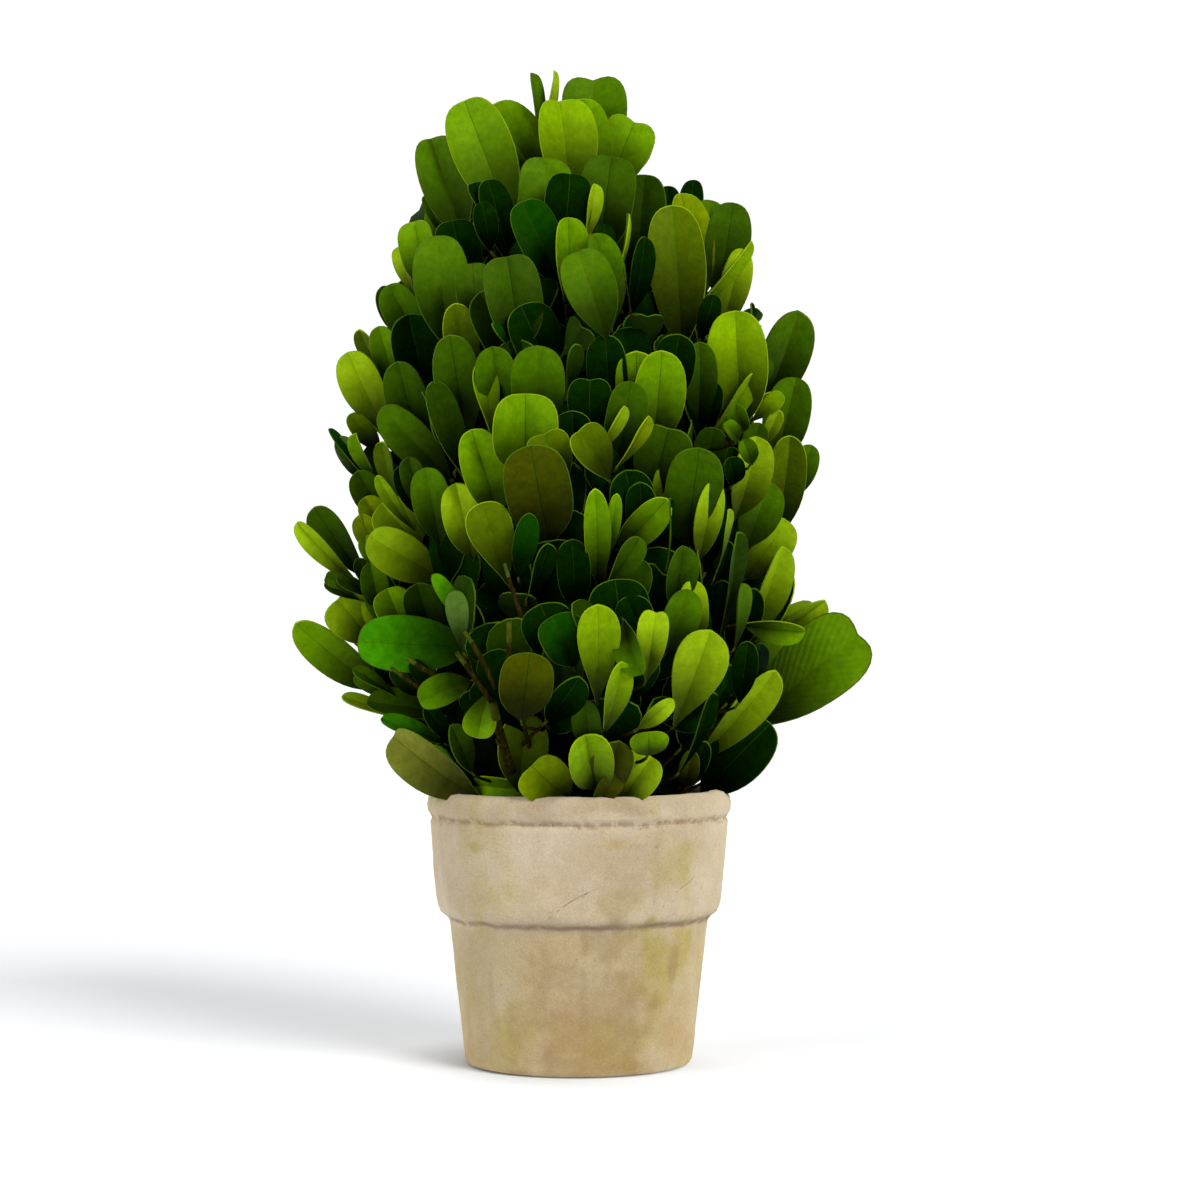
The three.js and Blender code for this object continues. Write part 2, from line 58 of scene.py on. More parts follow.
MM = 0.001
SEED = 20260
RULE_SEED = 1
GOLDEN_ANGLE = math.pi * (3 - math.sqrt(5))
UP = np.array([0.0, 0.0, 1.0])


# ---------------------------------------------------------------- sizes, in millimetres

POT_PROFILE = [  # radius and height, up the outside, over the rim and down the inside
    (27.0, 0.0),
    (28.0, 0.35),
    (28.5, 1.3),
    (28.8, 3.5),
    (32.3, 34.6),
    (32.6, 36.2),
    (33.2, 37.0),
    (34.6, 38.0),
    (35.4, 39.6),
    (35.8, 41.6),
    (37.45, 60.6),
    (37.0, 61.6),
    (37.5, 62.5),
    (38.1, 63.4),
    (38.3, 65.0),
    (37.9, 66.8),
    (36.6, 68.1),
    (34.6, 68.5),
    (33.0, 68.2),
    (31.9, 67.0),
    (31.4, 65.0),
    (23.0, 7.0),
    (22.0, 6.1),
]
POT_SEGMENTS = 160
RING_STEP = 0.9  # rings of the pot lie this close where its wall is straight
FILLING_TOP = 63.0
FILLING_BOTTOM = 6.3

CROWN = {
    "rim_height": 69.0,
    "rim_girth": 36.0,
    "brow": 97.0,
    "flare_power": 1.3,
    "girth": 60.0,
    "shoulder": 156.0,
    "top": 250.0,
    "top_power": 0.75,
    "lean_from": 192.0,
    "lean_to": 229.0,
    "lean": -9.5,
}
CORE = {
    "bottom": 63.3,
    "waist": 104.0,
    "top": 207.0,
    "radius": 36.0,
    "tuck": 0.34,
    "tuck_power": 2.0,
    "taper_power": 2.4,
}
# Each tier's name in the part, and the height on the core where it ends.
TIERS = [
    ("foliage_skirt", 80.0),
    ("foliage_lower", 106.0),
    ("foliage_middle", 134.0),
    ("foliage_upper", 165.0),
    ("foliage_tip", CORE["top"]),
]
# How far the crown reaches to the left and right at each height, seen from the front.
WIDTH_AT = [
    (69.0, -35.0, 35.0),
    (75.0, -44.0, 43.0),
    (81.0, -47.0, 47.0),
    (87.0, -50.0, 53.0),
    (93.0, -60.0, 63.0),
    (99.0, -63.0, 66.0),
    (105.0, -66.0, 66.0),
    (117.0, -60.0, 62.0),
    (123.0, -62.0, 53.0),
    (135.0, -62.0, 54.0),
    (141.0, -56.0, 54.0),
    (150.0, -57.0, 58.0),
    (160.0, -62.0, 55.0),
    (166.0, -56.0, 57.0),
    (178.0, -59.0, 55.0),
    (187.0, -48.0, 57.0),
    (193.0, -49.0, 41.0),
    (199.0, -43.0, 43.0),
    (208.0, -45.0, 42.0),
    (217.0, -40.0, 39.0),
    (223.0, -41.0, 29.0),
    (229.0, -39.0, 15.0),
    (235.0, -34.0, 17.0),
    (241.0, -29.0, 11.0),
    (250.0, -8.0, 4.0),
]


# ---------------------------------------------------------------- modelling helpers


def only(obj):
    """Selects one object and makes it active."""
    if bpy.context.object and bpy.context.object.mode != "OBJECT":
        bpy.ops.object.mode_set(mode="OBJECT")
    bpy.ops.object.select_all(action="DESELECT")
    obj.select_set(True)
    bpy.context.view_layer.objects.active = obj


def pick(obj, test):
    """In edit mode, selects the vertices whose place passes a test, with the edges and faces between them."""
    bpy.ops.object.mode_set(mode="OBJECT")
    mesh = obj.data
    chosen = [test(v.co) for v in mesh.vertices]
    mesh.vertices.foreach_set("select", chosen)
    mesh.edges.foreach_set("select", [all(chosen[i] for i in e.vertices) for e in mesh.edges])
    mesh.polygons.foreach_set("select", [all(chosen[i] for i in p.vertices) for p in mesh.polygons])
    bpy.ops.object.mode_set(mode="EDIT")


def modify(obj, kind, **settings):
    """Adds a modifier and applies it."""
    only(obj)
    modifier = obj.modifiers.new(kind.title(), kind)
    for name, value in settings.items():
        setattr(modifier, name, value)
    bpy.ops.object.modifier_apply(modifier=modifier.name)


def relief(obj, name, size, detail, depth, group=""):
    """Moves a piece's surface in and out by a cloudy pattern. size and depth are in millimetres."""
    texture = bpy.data.textures.new(name, "CLOUDS")
    texture.noise_scale = size * MM
    texture.noise_depth = detail
    modify(obj, "DISPLACE", texture=texture, strength=depth * MM, mid_level=0.5, vertex_group=group)


def revolve(name, profile, segments):
    """Models a closed turned shape: a filled disc, extruded and resized from ring to ring."""
    bpy.ops.object.select_all(action="DESELECT")
    radius, height = profile[0]
    bpy.ops.mesh.primitive_circle_add(
        vertices=segments, radius=radius * MM, fill_type="NGON", location=(0, 0, height * MM)
    )
    obj = bpy.context.object
    obj.name = name
    bpy.ops.object.transform_apply(location=True, rotation=True, scale=True)
    bpy.ops.object.mode_set(mode="EDIT")
    bpy.ops.mesh.select_all(action="SELECT")
    for (r0, z0), (r1, z1) in zip(profile, profile[1:]):
        bpy.ops.mesh.extrude_region_move(TRANSFORM_OT_translate={"value": (0, 0, (z1 - z0) * MM)})
        bpy.ops.transform.resize(value=(r1 / r0, r1 / r0, 1), center_override=(0, 0, z1 * MM))
    bpy.ops.mesh.select_all(action="SELECT")
    bpy.ops.mesh.remove_doubles(threshold=1e-6)
    bpy.ops.mesh.normals_make_consistent(inside=False)
    bpy.ops.object.mode_set(mode="OBJECT")
    return obj


def close_rings(profile, step):
    """The same profile with more rings, so that no two lie further apart than a step."""
    rings = [profile[0]]
    for (r0, z0), (r1, z1) in zip(profile, profile[1:]):
        count = max(1, math.ceil(math.hypot(r1 - r0, z1 - z0) / step))
        rings += [(r0 + (r1 - r0) * i / count, z0 + (z1 - z0) * i / count) for i in range(1, count + 1)]
    return rings


def finish_piece(obj, nodes, materials, angle=35.0):
    """Shades a piece, gives it its materials and ties it to the part."""
    only(obj)
    obj.data.materials.clear()
    for material in materials:
        obj.data.materials.append(material)
    bpy.ops.object.shade_smooth_by_angle(angle=math.radians(angle))
    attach(obj, "root")
    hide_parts(*nodes)
    return obj


# ---------------------------------------------------------------- material helpers


def colour(hex_code):
    """An sRGB hex colour as linear RGBA."""
    channels = [int(hex_code[i : i + 2], 16) / 255 for i in (1, 3, 5)]
    linear = [c / 12.92 if c <= 0.04045 else ((c + 0.055) / 1.055) ** 2.4 for c in channels]
    return (*linear, 1.0)


def dress(tree, node, inputs):
    """Sets a node's inputs, or links those that are given another node's output."""
    for name, value in inputs.items():
        if isinstance(value, bpy.types.NodeSocket):
            tree.links.new(value, node.inputs[name])
        else:
            node.inputs[name].default_value = value


def add(tree, kind, inputs=None, output=0, stops=(), **settings):
    """Adds a node with its settings, inputs and colour stops, and gives the output that is wanted."""
    node = tree.nodes.new("ShaderNode" + kind)
    for name, value in settings.items():
        setattr(node, name, value)
    dress(tree, node, inputs or {})
    while stops and len(node.color_ramp.elements) < len(stops):
        node.color_ramp.elements.new(0.5)
    for i, (position, hex_code) in enumerate(stops):
        node.color_ramp.elements[i].position = position
        node.color_ramp.elements[i].color = colour(hex_code)
    return node.outputs[output]


def new_material(name):
    """A material with its node tree and its Principled shader."""
    material = bpy.data.materials.new(name)
    material.use_nodes = True
    return material, material.node_tree, material.node_tree.nodes["Principled BSDF"]


def per_metre(millimetres):
    """A noise scale whose features are about this many millimetres across."""
    return 1.0 / (millimetres * MM)


# ---------------------------------------------------------------- one leaf of each kind

# Where each row of points crosses the rib, and how far its ends drop back, so that the tip is round.
LEAF_ROWS = [0.0, 0.07, 0.19, 0.35, 0.52, 0.69, 0.85, 1.0]
TIP_ARC = [0, 0, 0, 0, 0, 0.025, 0.06, 0.095]
# Columns of points from margin to margin. A leaf of the front has a narrow rib of its own, the others only a
# crease.
RIBBED_COLUMNS = [-1.0, -0.56, -0.016, 0.016, 0.56, 1.0]
CREASED_COLUMNS = [-1.0, -0.55, 0.0, 0.55, 1.0]
# Half the blade's width at each row, as a share of its widest, and how deep the tip is notched.
LEAF_KINDS = {
    "oval": ([0.075, 0.17, 0.52, 0.85, 1.0, 1.0, 0.93, 0.72], 0.012),
    "round": ([0.07, 0.20, 0.64, 0.94, 1.0, 1.0, 0.96, 0.78], 0.015),
    "paddle": ([0.075, 0.12, 0.28, 0.56, 0.84, 1.0, 1.0, 0.82], 0.02),
    "notched": ([0.075, 0.15, 0.42, 0.74, 0.94, 1.0, 1.0, 0.84], 0.075),
}
# The pale margin is partly a painted highlight, where the leaf's edge catches light.
RIM_INSET = 0.975  # the upper face is this much smaller than the lower, so the pale margin shows
UPPER, RIB, MARGIN, UNDER = range(4)


def model_leaf(kind, ribbed):
    """Models one flat leaf: length 1 along Y, half width 1 along X, thickness 1 below Z 0."""
    leaf_columns = RIBBED_COLUMNS if ribbed else CREASED_COLUMNS
    widths, notch = LEAF_KINDS[kind]
    bpy.ops.object.select_all(action="DESELECT")
    bpy.ops.mesh.primitive_grid_add(
        x_subdivisions=len(leaf_columns) - 1, y_subdivisions=len(LEAF_ROWS) - 1, size=2, location=(0, 0, 0)
    )
    obj = bpy.context.object
    obj.name = "leaf_" + kind
    columns = {round(-1 + 2 * i / (len(leaf_columns) - 1), 3): x for i, x in enumerate(leaf_columns)}
    rows = {round(-1 + 2 * j / (len(LEAF_ROWS) - 1), 3): j for j in range(len(LEAF_ROWS))}
    bpy.ops.object.mode_set(mode="EDIT")
    for place, x in columns.items():
        pick(obj, lambda co: abs(co.x - place) < 0.01 and abs(co.z) < 0.01)
        bpy.ops.transform.translate(value=(x - place, 0, 1))
    for place, j in rows.items():
        pick(obj, lambda co: abs(co.y - place) < 0.02 and abs(co.z - 1) < 0.01)
        bpy.ops.transform.translate(value=(0, LEAF_ROWS[j] - place, 1))
    for j, y in enumerate(LEAF_ROWS):
        pick(obj, lambda co: abs(co.y - y) < 0.01 and abs(co.z - 2) < 0.01)
        bpy.ops.transform.resize(value=(widths[j], 1, 1), center_override=(0, 0, 0))
        for x in sorted({abs(x) for x in leaf_columns}):
            drop = TIP_ARC[j] * x**2 + (notch * (1 - x) ** 3 if j == len(LEAF_ROWS) - 1 else 0)
            if drop:
                pick(obj, lambda co: abs(co.y - y) < 0.01 and abs(abs(co.x) - x * widths[j]) < 0.01)
                bpy.ops.transform.translate(value=(0, -drop, 1))
    bpy.ops.mesh.select_all(action="SELECT")
    bpy.ops.transform.resize(value=(1, 1, 0), center_override=(0, 0, 0))
    for _ in range(4):
        obj.data.materials.append(None)
    pick(obj, lambda co: abs(co.x) < 0.05)
    obj.active_material_index = RIB
    bpy.ops.object.material_slot_assign()
    bpy.ops.mesh.mark_sharp()
    bpy.ops.object.mode_set(mode="OBJECT")
    if ribbed:
        # A crease keeps the rib narrow while the rest of the blade is rounded.
        bpy.ops.object.mode_set(mode="EDIT")
        bpy.ops.transform.edge_crease(value=1.0)
        bpy.ops.object.mode_set(mode="OBJECT")
        modify(obj, "SUBSURF", levels=1, render_levels=1)
    modify(obj, "SOLIDIFY", thickness=1.0, offset=-1.0, material_offset=UNDER, material_offset_rim=MARGIN)
    only(obj)
    bpy.ops.object.mode_set(mode="EDIT")
    pick(obj, lambda co: co.z > -0.5)
    bpy.ops.mesh.region_to_loop()
    bpy.ops.transform.resize(value=(RIM_INSET, RIM_INSET, 1), center_override=(0, 0.55, 0))
    bpy.ops.mesh.mark_sharp()
    pick(obj, lambda co: co.z < -0.5)
    bpy.ops.mesh.region_to_loop()
    bpy.ops.mesh.mark_sharp()
    bpy.ops.object.mode_set(mode="OBJECT")
    return obj


def leaf_arrays(obj, kind):
    """A modelled leaf as arrays that many leaves are made from. The modelled one is removed."""
    mesh = obj.data
    points = np.array([v.co for v in mesh.vertices])
    faces = np.array([list(p.vertices) for p in mesh.polygons])
    heights = points[faces][:, :, 2]
    finish = np.array([p.material_index for p in mesh.polygons])
    finish[heights.max(axis=1) < -0.5] = UNDER
    finish[(heights.max(axis=1) > -0.5) & (heights.min(axis=1) < -0.5)] = MARGIN
    sharp = mesh.attributes.get("sharp_edge")
    marks = np.zeros(len(mesh.edges), bool)
    if sharp:
        sharp.data.foreach_get("value", marks)
    edges = np.array([list(e.vertices) for e in mesh.edges])
    count = len(points)
    creased = np.zeros((count, count), bool)
    for (a, b), mark in zip(edges, marks):
        creased[a, b] = creased[b, a] = mark
    # The veins' own coordinates: across the blade from rib to margin, and along it.
    half = np.interp(points[:, 1], LEAF_ROWS, LEAF_KINDS[kind][0])
    across = np.clip(points[:, 0] / np.maximum(half, 0.05), -1, 1) * 0.5 + 0.5
    veins = np.stack([across, points[:, 1]], axis=1)
    bpy.data.objects.remove(obj)
    return {"points": points, "faces": faces, "finish": finish, "creased": creased, "veins": veins}


# ---------------------------------------------------------------- the crown's form


def seeded_random(seed):
    """The same seeded random numbers from 0 to 1 that the part grows by."""
    state = seed & 0xFFFFFFFF

    def draw():
        """The next number."""
        nonlocal state
        state = (state + 0x6D2B79F5) & 0xFFFFFFFF
        t = ((state ^ (state >> 15)) * (1 | state)) & 0xFFFFFFFF
        t ^= (t + (((t ^ (t >> 7)) * (61 | t)) & 0xFFFFFFFF)) & 0xFFFFFFFF
        return ((t ^ (t >> 14)) & 0xFFFFFFFF) / 4294967296

    return draw


def either(draw):
    """A random number from -1 to 1."""
    return draw() * 2 - 1


def between(span, share):
    """The value a share of the way from one end of a span to the other."""
    low, high = span
    return low + (high - low) * share


def lean_at(height):
    """How far to the side the crown's axis stands at a height."""
    t = np.clip((height - CROWN["lean_from"]) / (CROWN["lean_to"] - CROWN["lean_from"]), 0, 1)
    return CROWN["lean"] * t * t * (3 - 2 * t)


def outline_at(height):
    """The crown's radius at a height."""
    c = CROWN
    down = np.maximum(0, (c["brow"] - height) / (c["brow"] - c["rim_height"]))
    up = np.clip((height - c["shoulder"]) / (c["top"] - c["shoulder"]), 0, 1)
    girth = c["girth"] - (c["girth"] - c["rim_girth"]) * down ** c["flare_power"]
    return girth * (1 - up * up) ** c["top_power"]


def core_radius_at(height):
    """The radius at a height of the core that the sprigs are stuck into."""
    c = CORE
    down = np.maximum(0, (c["waist"] - height) / (c["waist"] - c["bottom"]))
    up = np.clip((height - c["waist"]) / (c["top"] - c["waist"]), 0, 1)
    return c["radius"] * (1 - c["tuck"] * down ** c["tuck_power"]) * (1 - up ** c["taper_power"])


def from_axis(points):
    """How far points lie from the crown's leaning axis."""
    return np.hypot(points[..., 0] - lean_at(points[..., 2]), points[..., 1])


def inside_core(points, margin=0.0):
    """True for points inside the core, or nearer to it than a margin."""
    z = points[..., 2]
    return (z > CORE["bottom"]) & (z < CORE["top"]) & (from_axis(points) < core_radius_at(z) + margin)


def inside_outline(points, margin=0.0):
    """True for points inside the crown's outline, or less than a margin past it."""
    return (points[..., 2] < CROWN["top"]) & (from_axis(points) < outline_at(points[..., 2]) + margin)


def inside_width(points, margin=0.5):
    """True where points keep within the crown's own width at their height, seen from the front."""
    heights, left, right = (np.array(column) for column in zip(*WIDTH_AT))
    z = points[..., 2]
    x = points[..., 0]
    return (x > np.interp(z, heights, left) - margin) & (x < np.interp(z, heights, right) + margin)


def distance_while(test, start, axis):
    """How far a straight line runs before its points fail a test."""
    steps = np.arange(0, CROWN["top"], 0.5)
    held = test(start + steps[:, None] * axis)
    return float(steps[-1] if held.all() else steps[np.argmin(held)])


def direction_of(turn, rise):
    """The direction with a turn about the upright axis and a rise above level, in radians."""
    return np.array([math.cos(turn) * math.cos(rise), math.sin(turn) * math.cos(rise), math.sin(rise)])


def unit(vector):
    """A vector made one long."""
    return vector / max(np.linalg.norm(vector), 1e-12)


def rotated(vector, axis, angle):
    """A vector turned about a unit axis."""
    return (
        vector * math.cos(angle)
        + np.cross(axis, vector) * math.sin(angle)
        + axis * float(axis @ vector) * (1 - math.cos(angle))
    )


def tier_at(height):
    """The number of the tier that a height on the core belongs to."""
    return next(i for i, (_, end) in enumerate(TIERS) if height < end or i == len(TIERS) - 1)


# ---------------------------------------------------------------- sprigs that grow by rule

SPRIGS = {
    "count": 84,
    "first_height": 68.0,
    "last_height": 205.0,
    "rim_rise": 33.0,
    "top_rise": 90.0,
    "rise_power": 1.25,
    "tip_share": 0.86,
    "shortest_twig": 3.0,
    "barest_twig": 2.0,
    "fork_share": 0.25,
    "fork_at": 0.3,
    "fork_angle": 38.0,
    "fork_angle_jitter": 8.0,
    "fork_turn": 1.0,
    "fork_leaf_scale": 0.88,
    "shortest_fork": 9.0,
    "lean_ahead": 30.0,
    "turn_jitter": 0.16,
    "rise_jitter": 7.0,
    "twig_jitter": 1.5,
}
# The ruff of short shoots round the pot's rim.
RUFF = {
    "count": 16,
    "height": 67.5,
    "turn_jitter": 0.25,
    "rise": 40.0,
    "rise_jitter": 14.0,
    "twig": 5.0,
    "roll_jitter": 0.5,
    "leaf_scale": 0.84,
}
LEAF = {
    "length": 21.5,
    "length_jitter": 3.5,
    "width_share": 0.66,
    "width_jitter": 0.12,
    "inner_shrink": 0.1,
    "spread": 27.0,
    "spread_jitter": 9.0,
    "roll_jitter": 0.3,
    "turn_outward": 0.75,
    "turn_jitter": 0.3,
    "widest_swing": 1.9,
    "tries": 10,
    "try_looser": 0.12,
    "try_shrink": 0.015,
    "pair_spacing": 5.0,
    "pairs": 4,
}


def even_heights(count, first, last):
    """Heights that share the core's surface evenly between the sprigs."""
    heights = np.linspace(first, last, 401)
    radii = core_radius_at(heights)
    area = np.concatenate([[0], np.cumsum(radii[:-1] * np.hypot(np.diff(heights), np.diff(radii)))])
    return np.interp((np.arange(count) + 0.5) / count * area[-1], area, heights)


def even_shoots(draw, count, reach_share, phase):
    """Shoots in a golden-angle spiral up the core, each with its twig's length and its leaves' scale."""
    s = SPRIGS
    shoots = []
    for i, height in enumerate(even_heights(count, s["first_height"], s["last_height"])):
        share = (height - s["first_height"]) / (s["last_height"] - s["first_height"])
        turn = phase + i * GOLDEN_ANGLE + either(draw) * s["turn_jitter"]
        slope = s["rim_rise"] + (s["top_rise"] - s["rim_rise"]) * share ** s["rise_power"]
        rise = math.radians(slope + either(draw) * s["rise_jitter"])
        out = direction_of(turn, 0)
        axis = direction_of(turn + either(draw) * s["turn_jitter"], rise)
        axis[0] += (lean_at(height + s["lean_ahead"]) - lean_at(height)) / s["lean_ahead"]
        axis = unit(axis)
        radius = core_radius_at(height)
        root = np.array([lean_at(height) + radius * math.cos(turn), radius * math.sin(turn), height])
        reach = distance_while(inside_outline, root, axis) * reach_share
        twig = reach - LEAF["length"] * s["tip_share"] + either(draw) * s["twig_jitter"]
        twig = max(s["shortest_twig"], twig)
        roll = draw() * math.pi
        shoot = {"tier": tier_at(height), "root": root, "axis": axis, "out": out, "twig": twig, "roll": roll}
        shoots.append({**shoot, "scale": 1.0})
        if draw() < s["fork_share"] and twig > s["shortest_fork"]:
            side = np.cross(out, UP) * (1 if draw() < 0.5 else -1)
            hinge = unit(np.cross(side, axis))
            angle = math.radians(s["fork_angle"] + either(draw) * s["fork_angle_jitter"])
            fork_root = root + axis * twig * s["fork_at"]
            fork_axis = rotated(axis, hinge, -angle)
            length = distance_while(inside_outline, fork_root, fork_axis) * reach_share
            length -= LEAF["length"] * s["tip_share"]
            if length > s["shortest_twig"]:
                fork = {**shoot, "root": fork_root, "axis": fork_axis, "twig": length}
                shoots.append({**fork, "roll": roll + s["fork_turn"], "scale": s["fork_leaf_scale"]})
    return shoots


def ruff_shoots(draw):
    """Short shoots that lean on the pot's rim."""
    shoots = []
    radius = core_radius_at(RUFF["height"])
    for i in range(RUFF["count"]):
        turn = (i + either(draw) * RUFF["turn_jitter"]) * 2 * math.pi / RUFF["count"]
        rise = math.radians(RUFF["rise"] + either(draw) * RUFF["rise_jitter"])
        shoot = {"tier": 0, "axis": direction_of(turn, rise), "out": direction_of(turn, 0)}
        shoot["root"] = np.array([radius * math.cos(turn), radius * math.sin(turn), RUFF["height"]])
        shoot["roll"] = math.pi / 2 + either(draw) * RUFF["roll_jitter"]
        shoots.append({**shoot, "twig": RUFF["twig"], "scale": RUFF["leaf_scale"]})
    return shoots


def grow_leaf(shoot, place, half, attempt, draw):
    """One leaf of a pair. place counts the pairs back from the twig's tip."""
    axis, out = shoot["axis"], shoot["out"]
    loose = 1 + attempt * LEAF["try_looser"]
    outward = unit(out - axis * float(out @ axis))
    sideways = np.cross(axis, outward)
    roll = shoot["roll"] + (place / 2 + half) * math.pi + either(draw) * LEAF["roll_jitter"] * loose
    lateral = outward * math.cos(roll) + sideways * math.sin(roll)
    spread = math.radians(LEAF["spread"] + either(draw) * LEAF["spread_jitter"] * loose)
    direction = axis * math.cos(spread) + lateral * math.sin(spread)
    inner = axis * math.sin(spread) - lateral * math.cos(spread)
    facing = unit(out - direction * float(out @ direction))
    swing = math.atan2(float(np.cross(inner, facing) @ direction), float(inner @ facing))
    nearest = swing if abs(swing) < LEAF["widest_swing"] else swing - math.copysign(math.pi, swing)
    twist = nearest * min(1, LEAF["turn_outward"] + either(draw) * LEAF["turn_jitter"] * loose)
    size = shoot["scale"] - LEAF["inner_shrink"] * place - LEAF["try_shrink"] * attempt
    length = (LEAF["length"] + either(draw) * LEAF["length_jitter"]) * size
    return {
        "tier": shoot["tier"],
        "root": shoot["root"] + axis * (shoot["twig"] - place * LEAF["pair_spacing"]),
        "direction": direction,
        "normal": rotated(inner, direction, twist),
        "length": length,
        "width": length * (LEAF["width_share"] + either(draw) * LEAF["width_jitter"]),
    }


# ---------------------------------------------------------------- keeping leaves apart

# A coarse blade stands for each leaf: corners as shares of its length and half its width, and a crest.
BLADE_CORNERS = [(0, 0), (0.6, 1), (0.97, 0.48), (0.97, -0.48), (0.6, -1)]
BLADE_CREST = 5
BLADE_ARCH = 0.9  # how high the crest stands, and how far the tip drops
BLADE_FACES = np.array(
    [(5, 0, 1), (5, 1, 2), (5, 2, 3), (5, 3, 4), (5, 4, 0), (1, 0, 4), (1, 4, 3), (1, 3, 2)]
)
BLADE_LINES = np.array(
    [(5, 0), (5, 1), (5, 2), (5, 3), (5, 4), (0, 1), (1, 2), (2, 3), (3, 4), (4, 0), (1, 4)]
)
MEETING_SHARE = 0.62  # blades whose crests lie further apart than this share of both lengths can't meet
RIM_HEIGHT = 69.5  # leaves that grow by rule stay above the pot's rim
CORE_GAP = 1.0  # and this far out of the core
EDGE_PROUD = 1.8  # they may reach this far past the outline
FRONT_INSET = 9.0  # but stay this much further in where the front's own leaves stand
FRONT_GAP = 0.3  # a point this far ahead of a leaf of the front stands in front of it


def blade_points(leaf):
    """A leaf's corners and crest, coarse but good enough to tell whether two leaves cross."""
    across = np.cross(leaf["direction"], leaf["normal"])
    corners = [
        leaf["root"]
        + leaf["direction"] * max(along * leaf["length"], 0.4)
        + across * side * leaf["width"] / 2
        - leaf["normal"] * BLADE_ARCH * along**3
        for along, side in BLADE_CORNERS
    ]
    crest = leaf["root"] + leaf["direction"] * 0.55 * leaf["length"] + leaf["normal"] * BLADE_ARCH
    return np.array([*corners, crest])


def any_pierces(lines, faces):
    """True where a line of (n, 2, 3) passes through a triangle of (m, 3, 3)."""
    start = lines[:, None, 0]
    along = lines[:, None, 1] - start
    corner = faces[None, :, 0]
    edge_a = faces[None, :, 1] - corner
    edge_b = faces[None, :, 2] - corner
    p = np.cross(along, edge_b)
    det = (edge_a * p).sum(-1)
    det = np.where(np.abs(det) < 1e-9, np.inf, det)
    t = start - corner
    u = (t * p).sum(-1) / det
    q = np.cross(t, edge_a)
    v = (along * q).sum(-1) / det
    w = (edge_b * q).sum(-1) / det
    return bool(((u >= 0) & (v >= 0) & (u + v <= 1) & (w >= 0) & (w <= 1)).any())


class Crown:
    """The leaves grown so far, and the test that keeps a new one clear of them."""

    def __init__(self):
        self.leaves = []
        self.crests = np.zeros((0, 3))
        self.lengths = np.zeros(0)
        self.faces = np.zeros((0, 8, 3, 3))
        self.lines = np.zeros((0, 11, 2, 3))
        self.fronts = []

    def add(self, leaf, points):
        """Takes in a leaf with the points of its coarse blade."""
        self.leaves.append(leaf)
        self.crests = np.vstack([self.crests, points[BLADE_CREST]])
        self.lengths = np.append(self.lengths, leaf["length"])
        self.faces = np.concatenate([self.faces, points[BLADE_FACES][None]])
        self.lines = np.concatenate([self.lines, points[BLADE_LINES][None]])

    def is_clear(self, leaf, points):
        """True where a leaf crosses none of those grown so far."""
        apart = np.linalg.norm(self.crests - points[BLADE_CREST], axis=1)
        near = apart < (self.lengths + leaf["length"]) * MEETING_SHARE
        if not near.any():
            return True
        faces = self.faces[near].reshape(-1, 3, 3)
        lines = self.lines[near].reshape(-1, 2, 3)
        return not (any_pierces(points[BLADE_LINES], faces) or any_pierces(lines, points[BLADE_FACES]))

    def hides_front(self, points):
        """True where a leaf would stand in front of one of the front's own leaves."""
        front = np.array(self.fronts)
        centre, along, across, half_length, half_width, normal = (
            front[:, columns] for columns in (slice(0, 3), slice(3, 5), slice(5, 7), 7, 8, slice(9, 12))
        )
        offset = points[:, None] - centre[None]
        flat = offset[..., [0, 2]]
        a = (flat * along).sum(-1) / half_length
        b = (flat * across).sum(-1) / half_width
        ahead = (offset * normal).sum(-1) > FRONT_GAP
        return bool(((a * a + b * b < 1.0) & ahead).any())

    def fits(self, leaf, points):
        """True where a leaf that grows by rule keeps within the crown and clear of every other."""
        outer = np.vstack([points[1:], (points[1:5] + points[[2, 3, 4, 1]]) / 2])
        facing = np.clip(-outer[:, 1] / np.maximum(from_axis(outer), 1.0), 0, 1)
        inset = EDGE_PROUD - FRONT_INSET * np.clip(facing / 0.7, 0, 1) ** 2
        return (
            bool((outer[:, 2] > RIM_HEIGHT).all())
            and not inside_core(outer, CORE_GAP).any()
            and bool(inside_outline(outer, inset).all())
            and bool(inside_width(outer).all())
            and not self.hides_front(outer)
            and self.is_clear(leaf, points)
        )
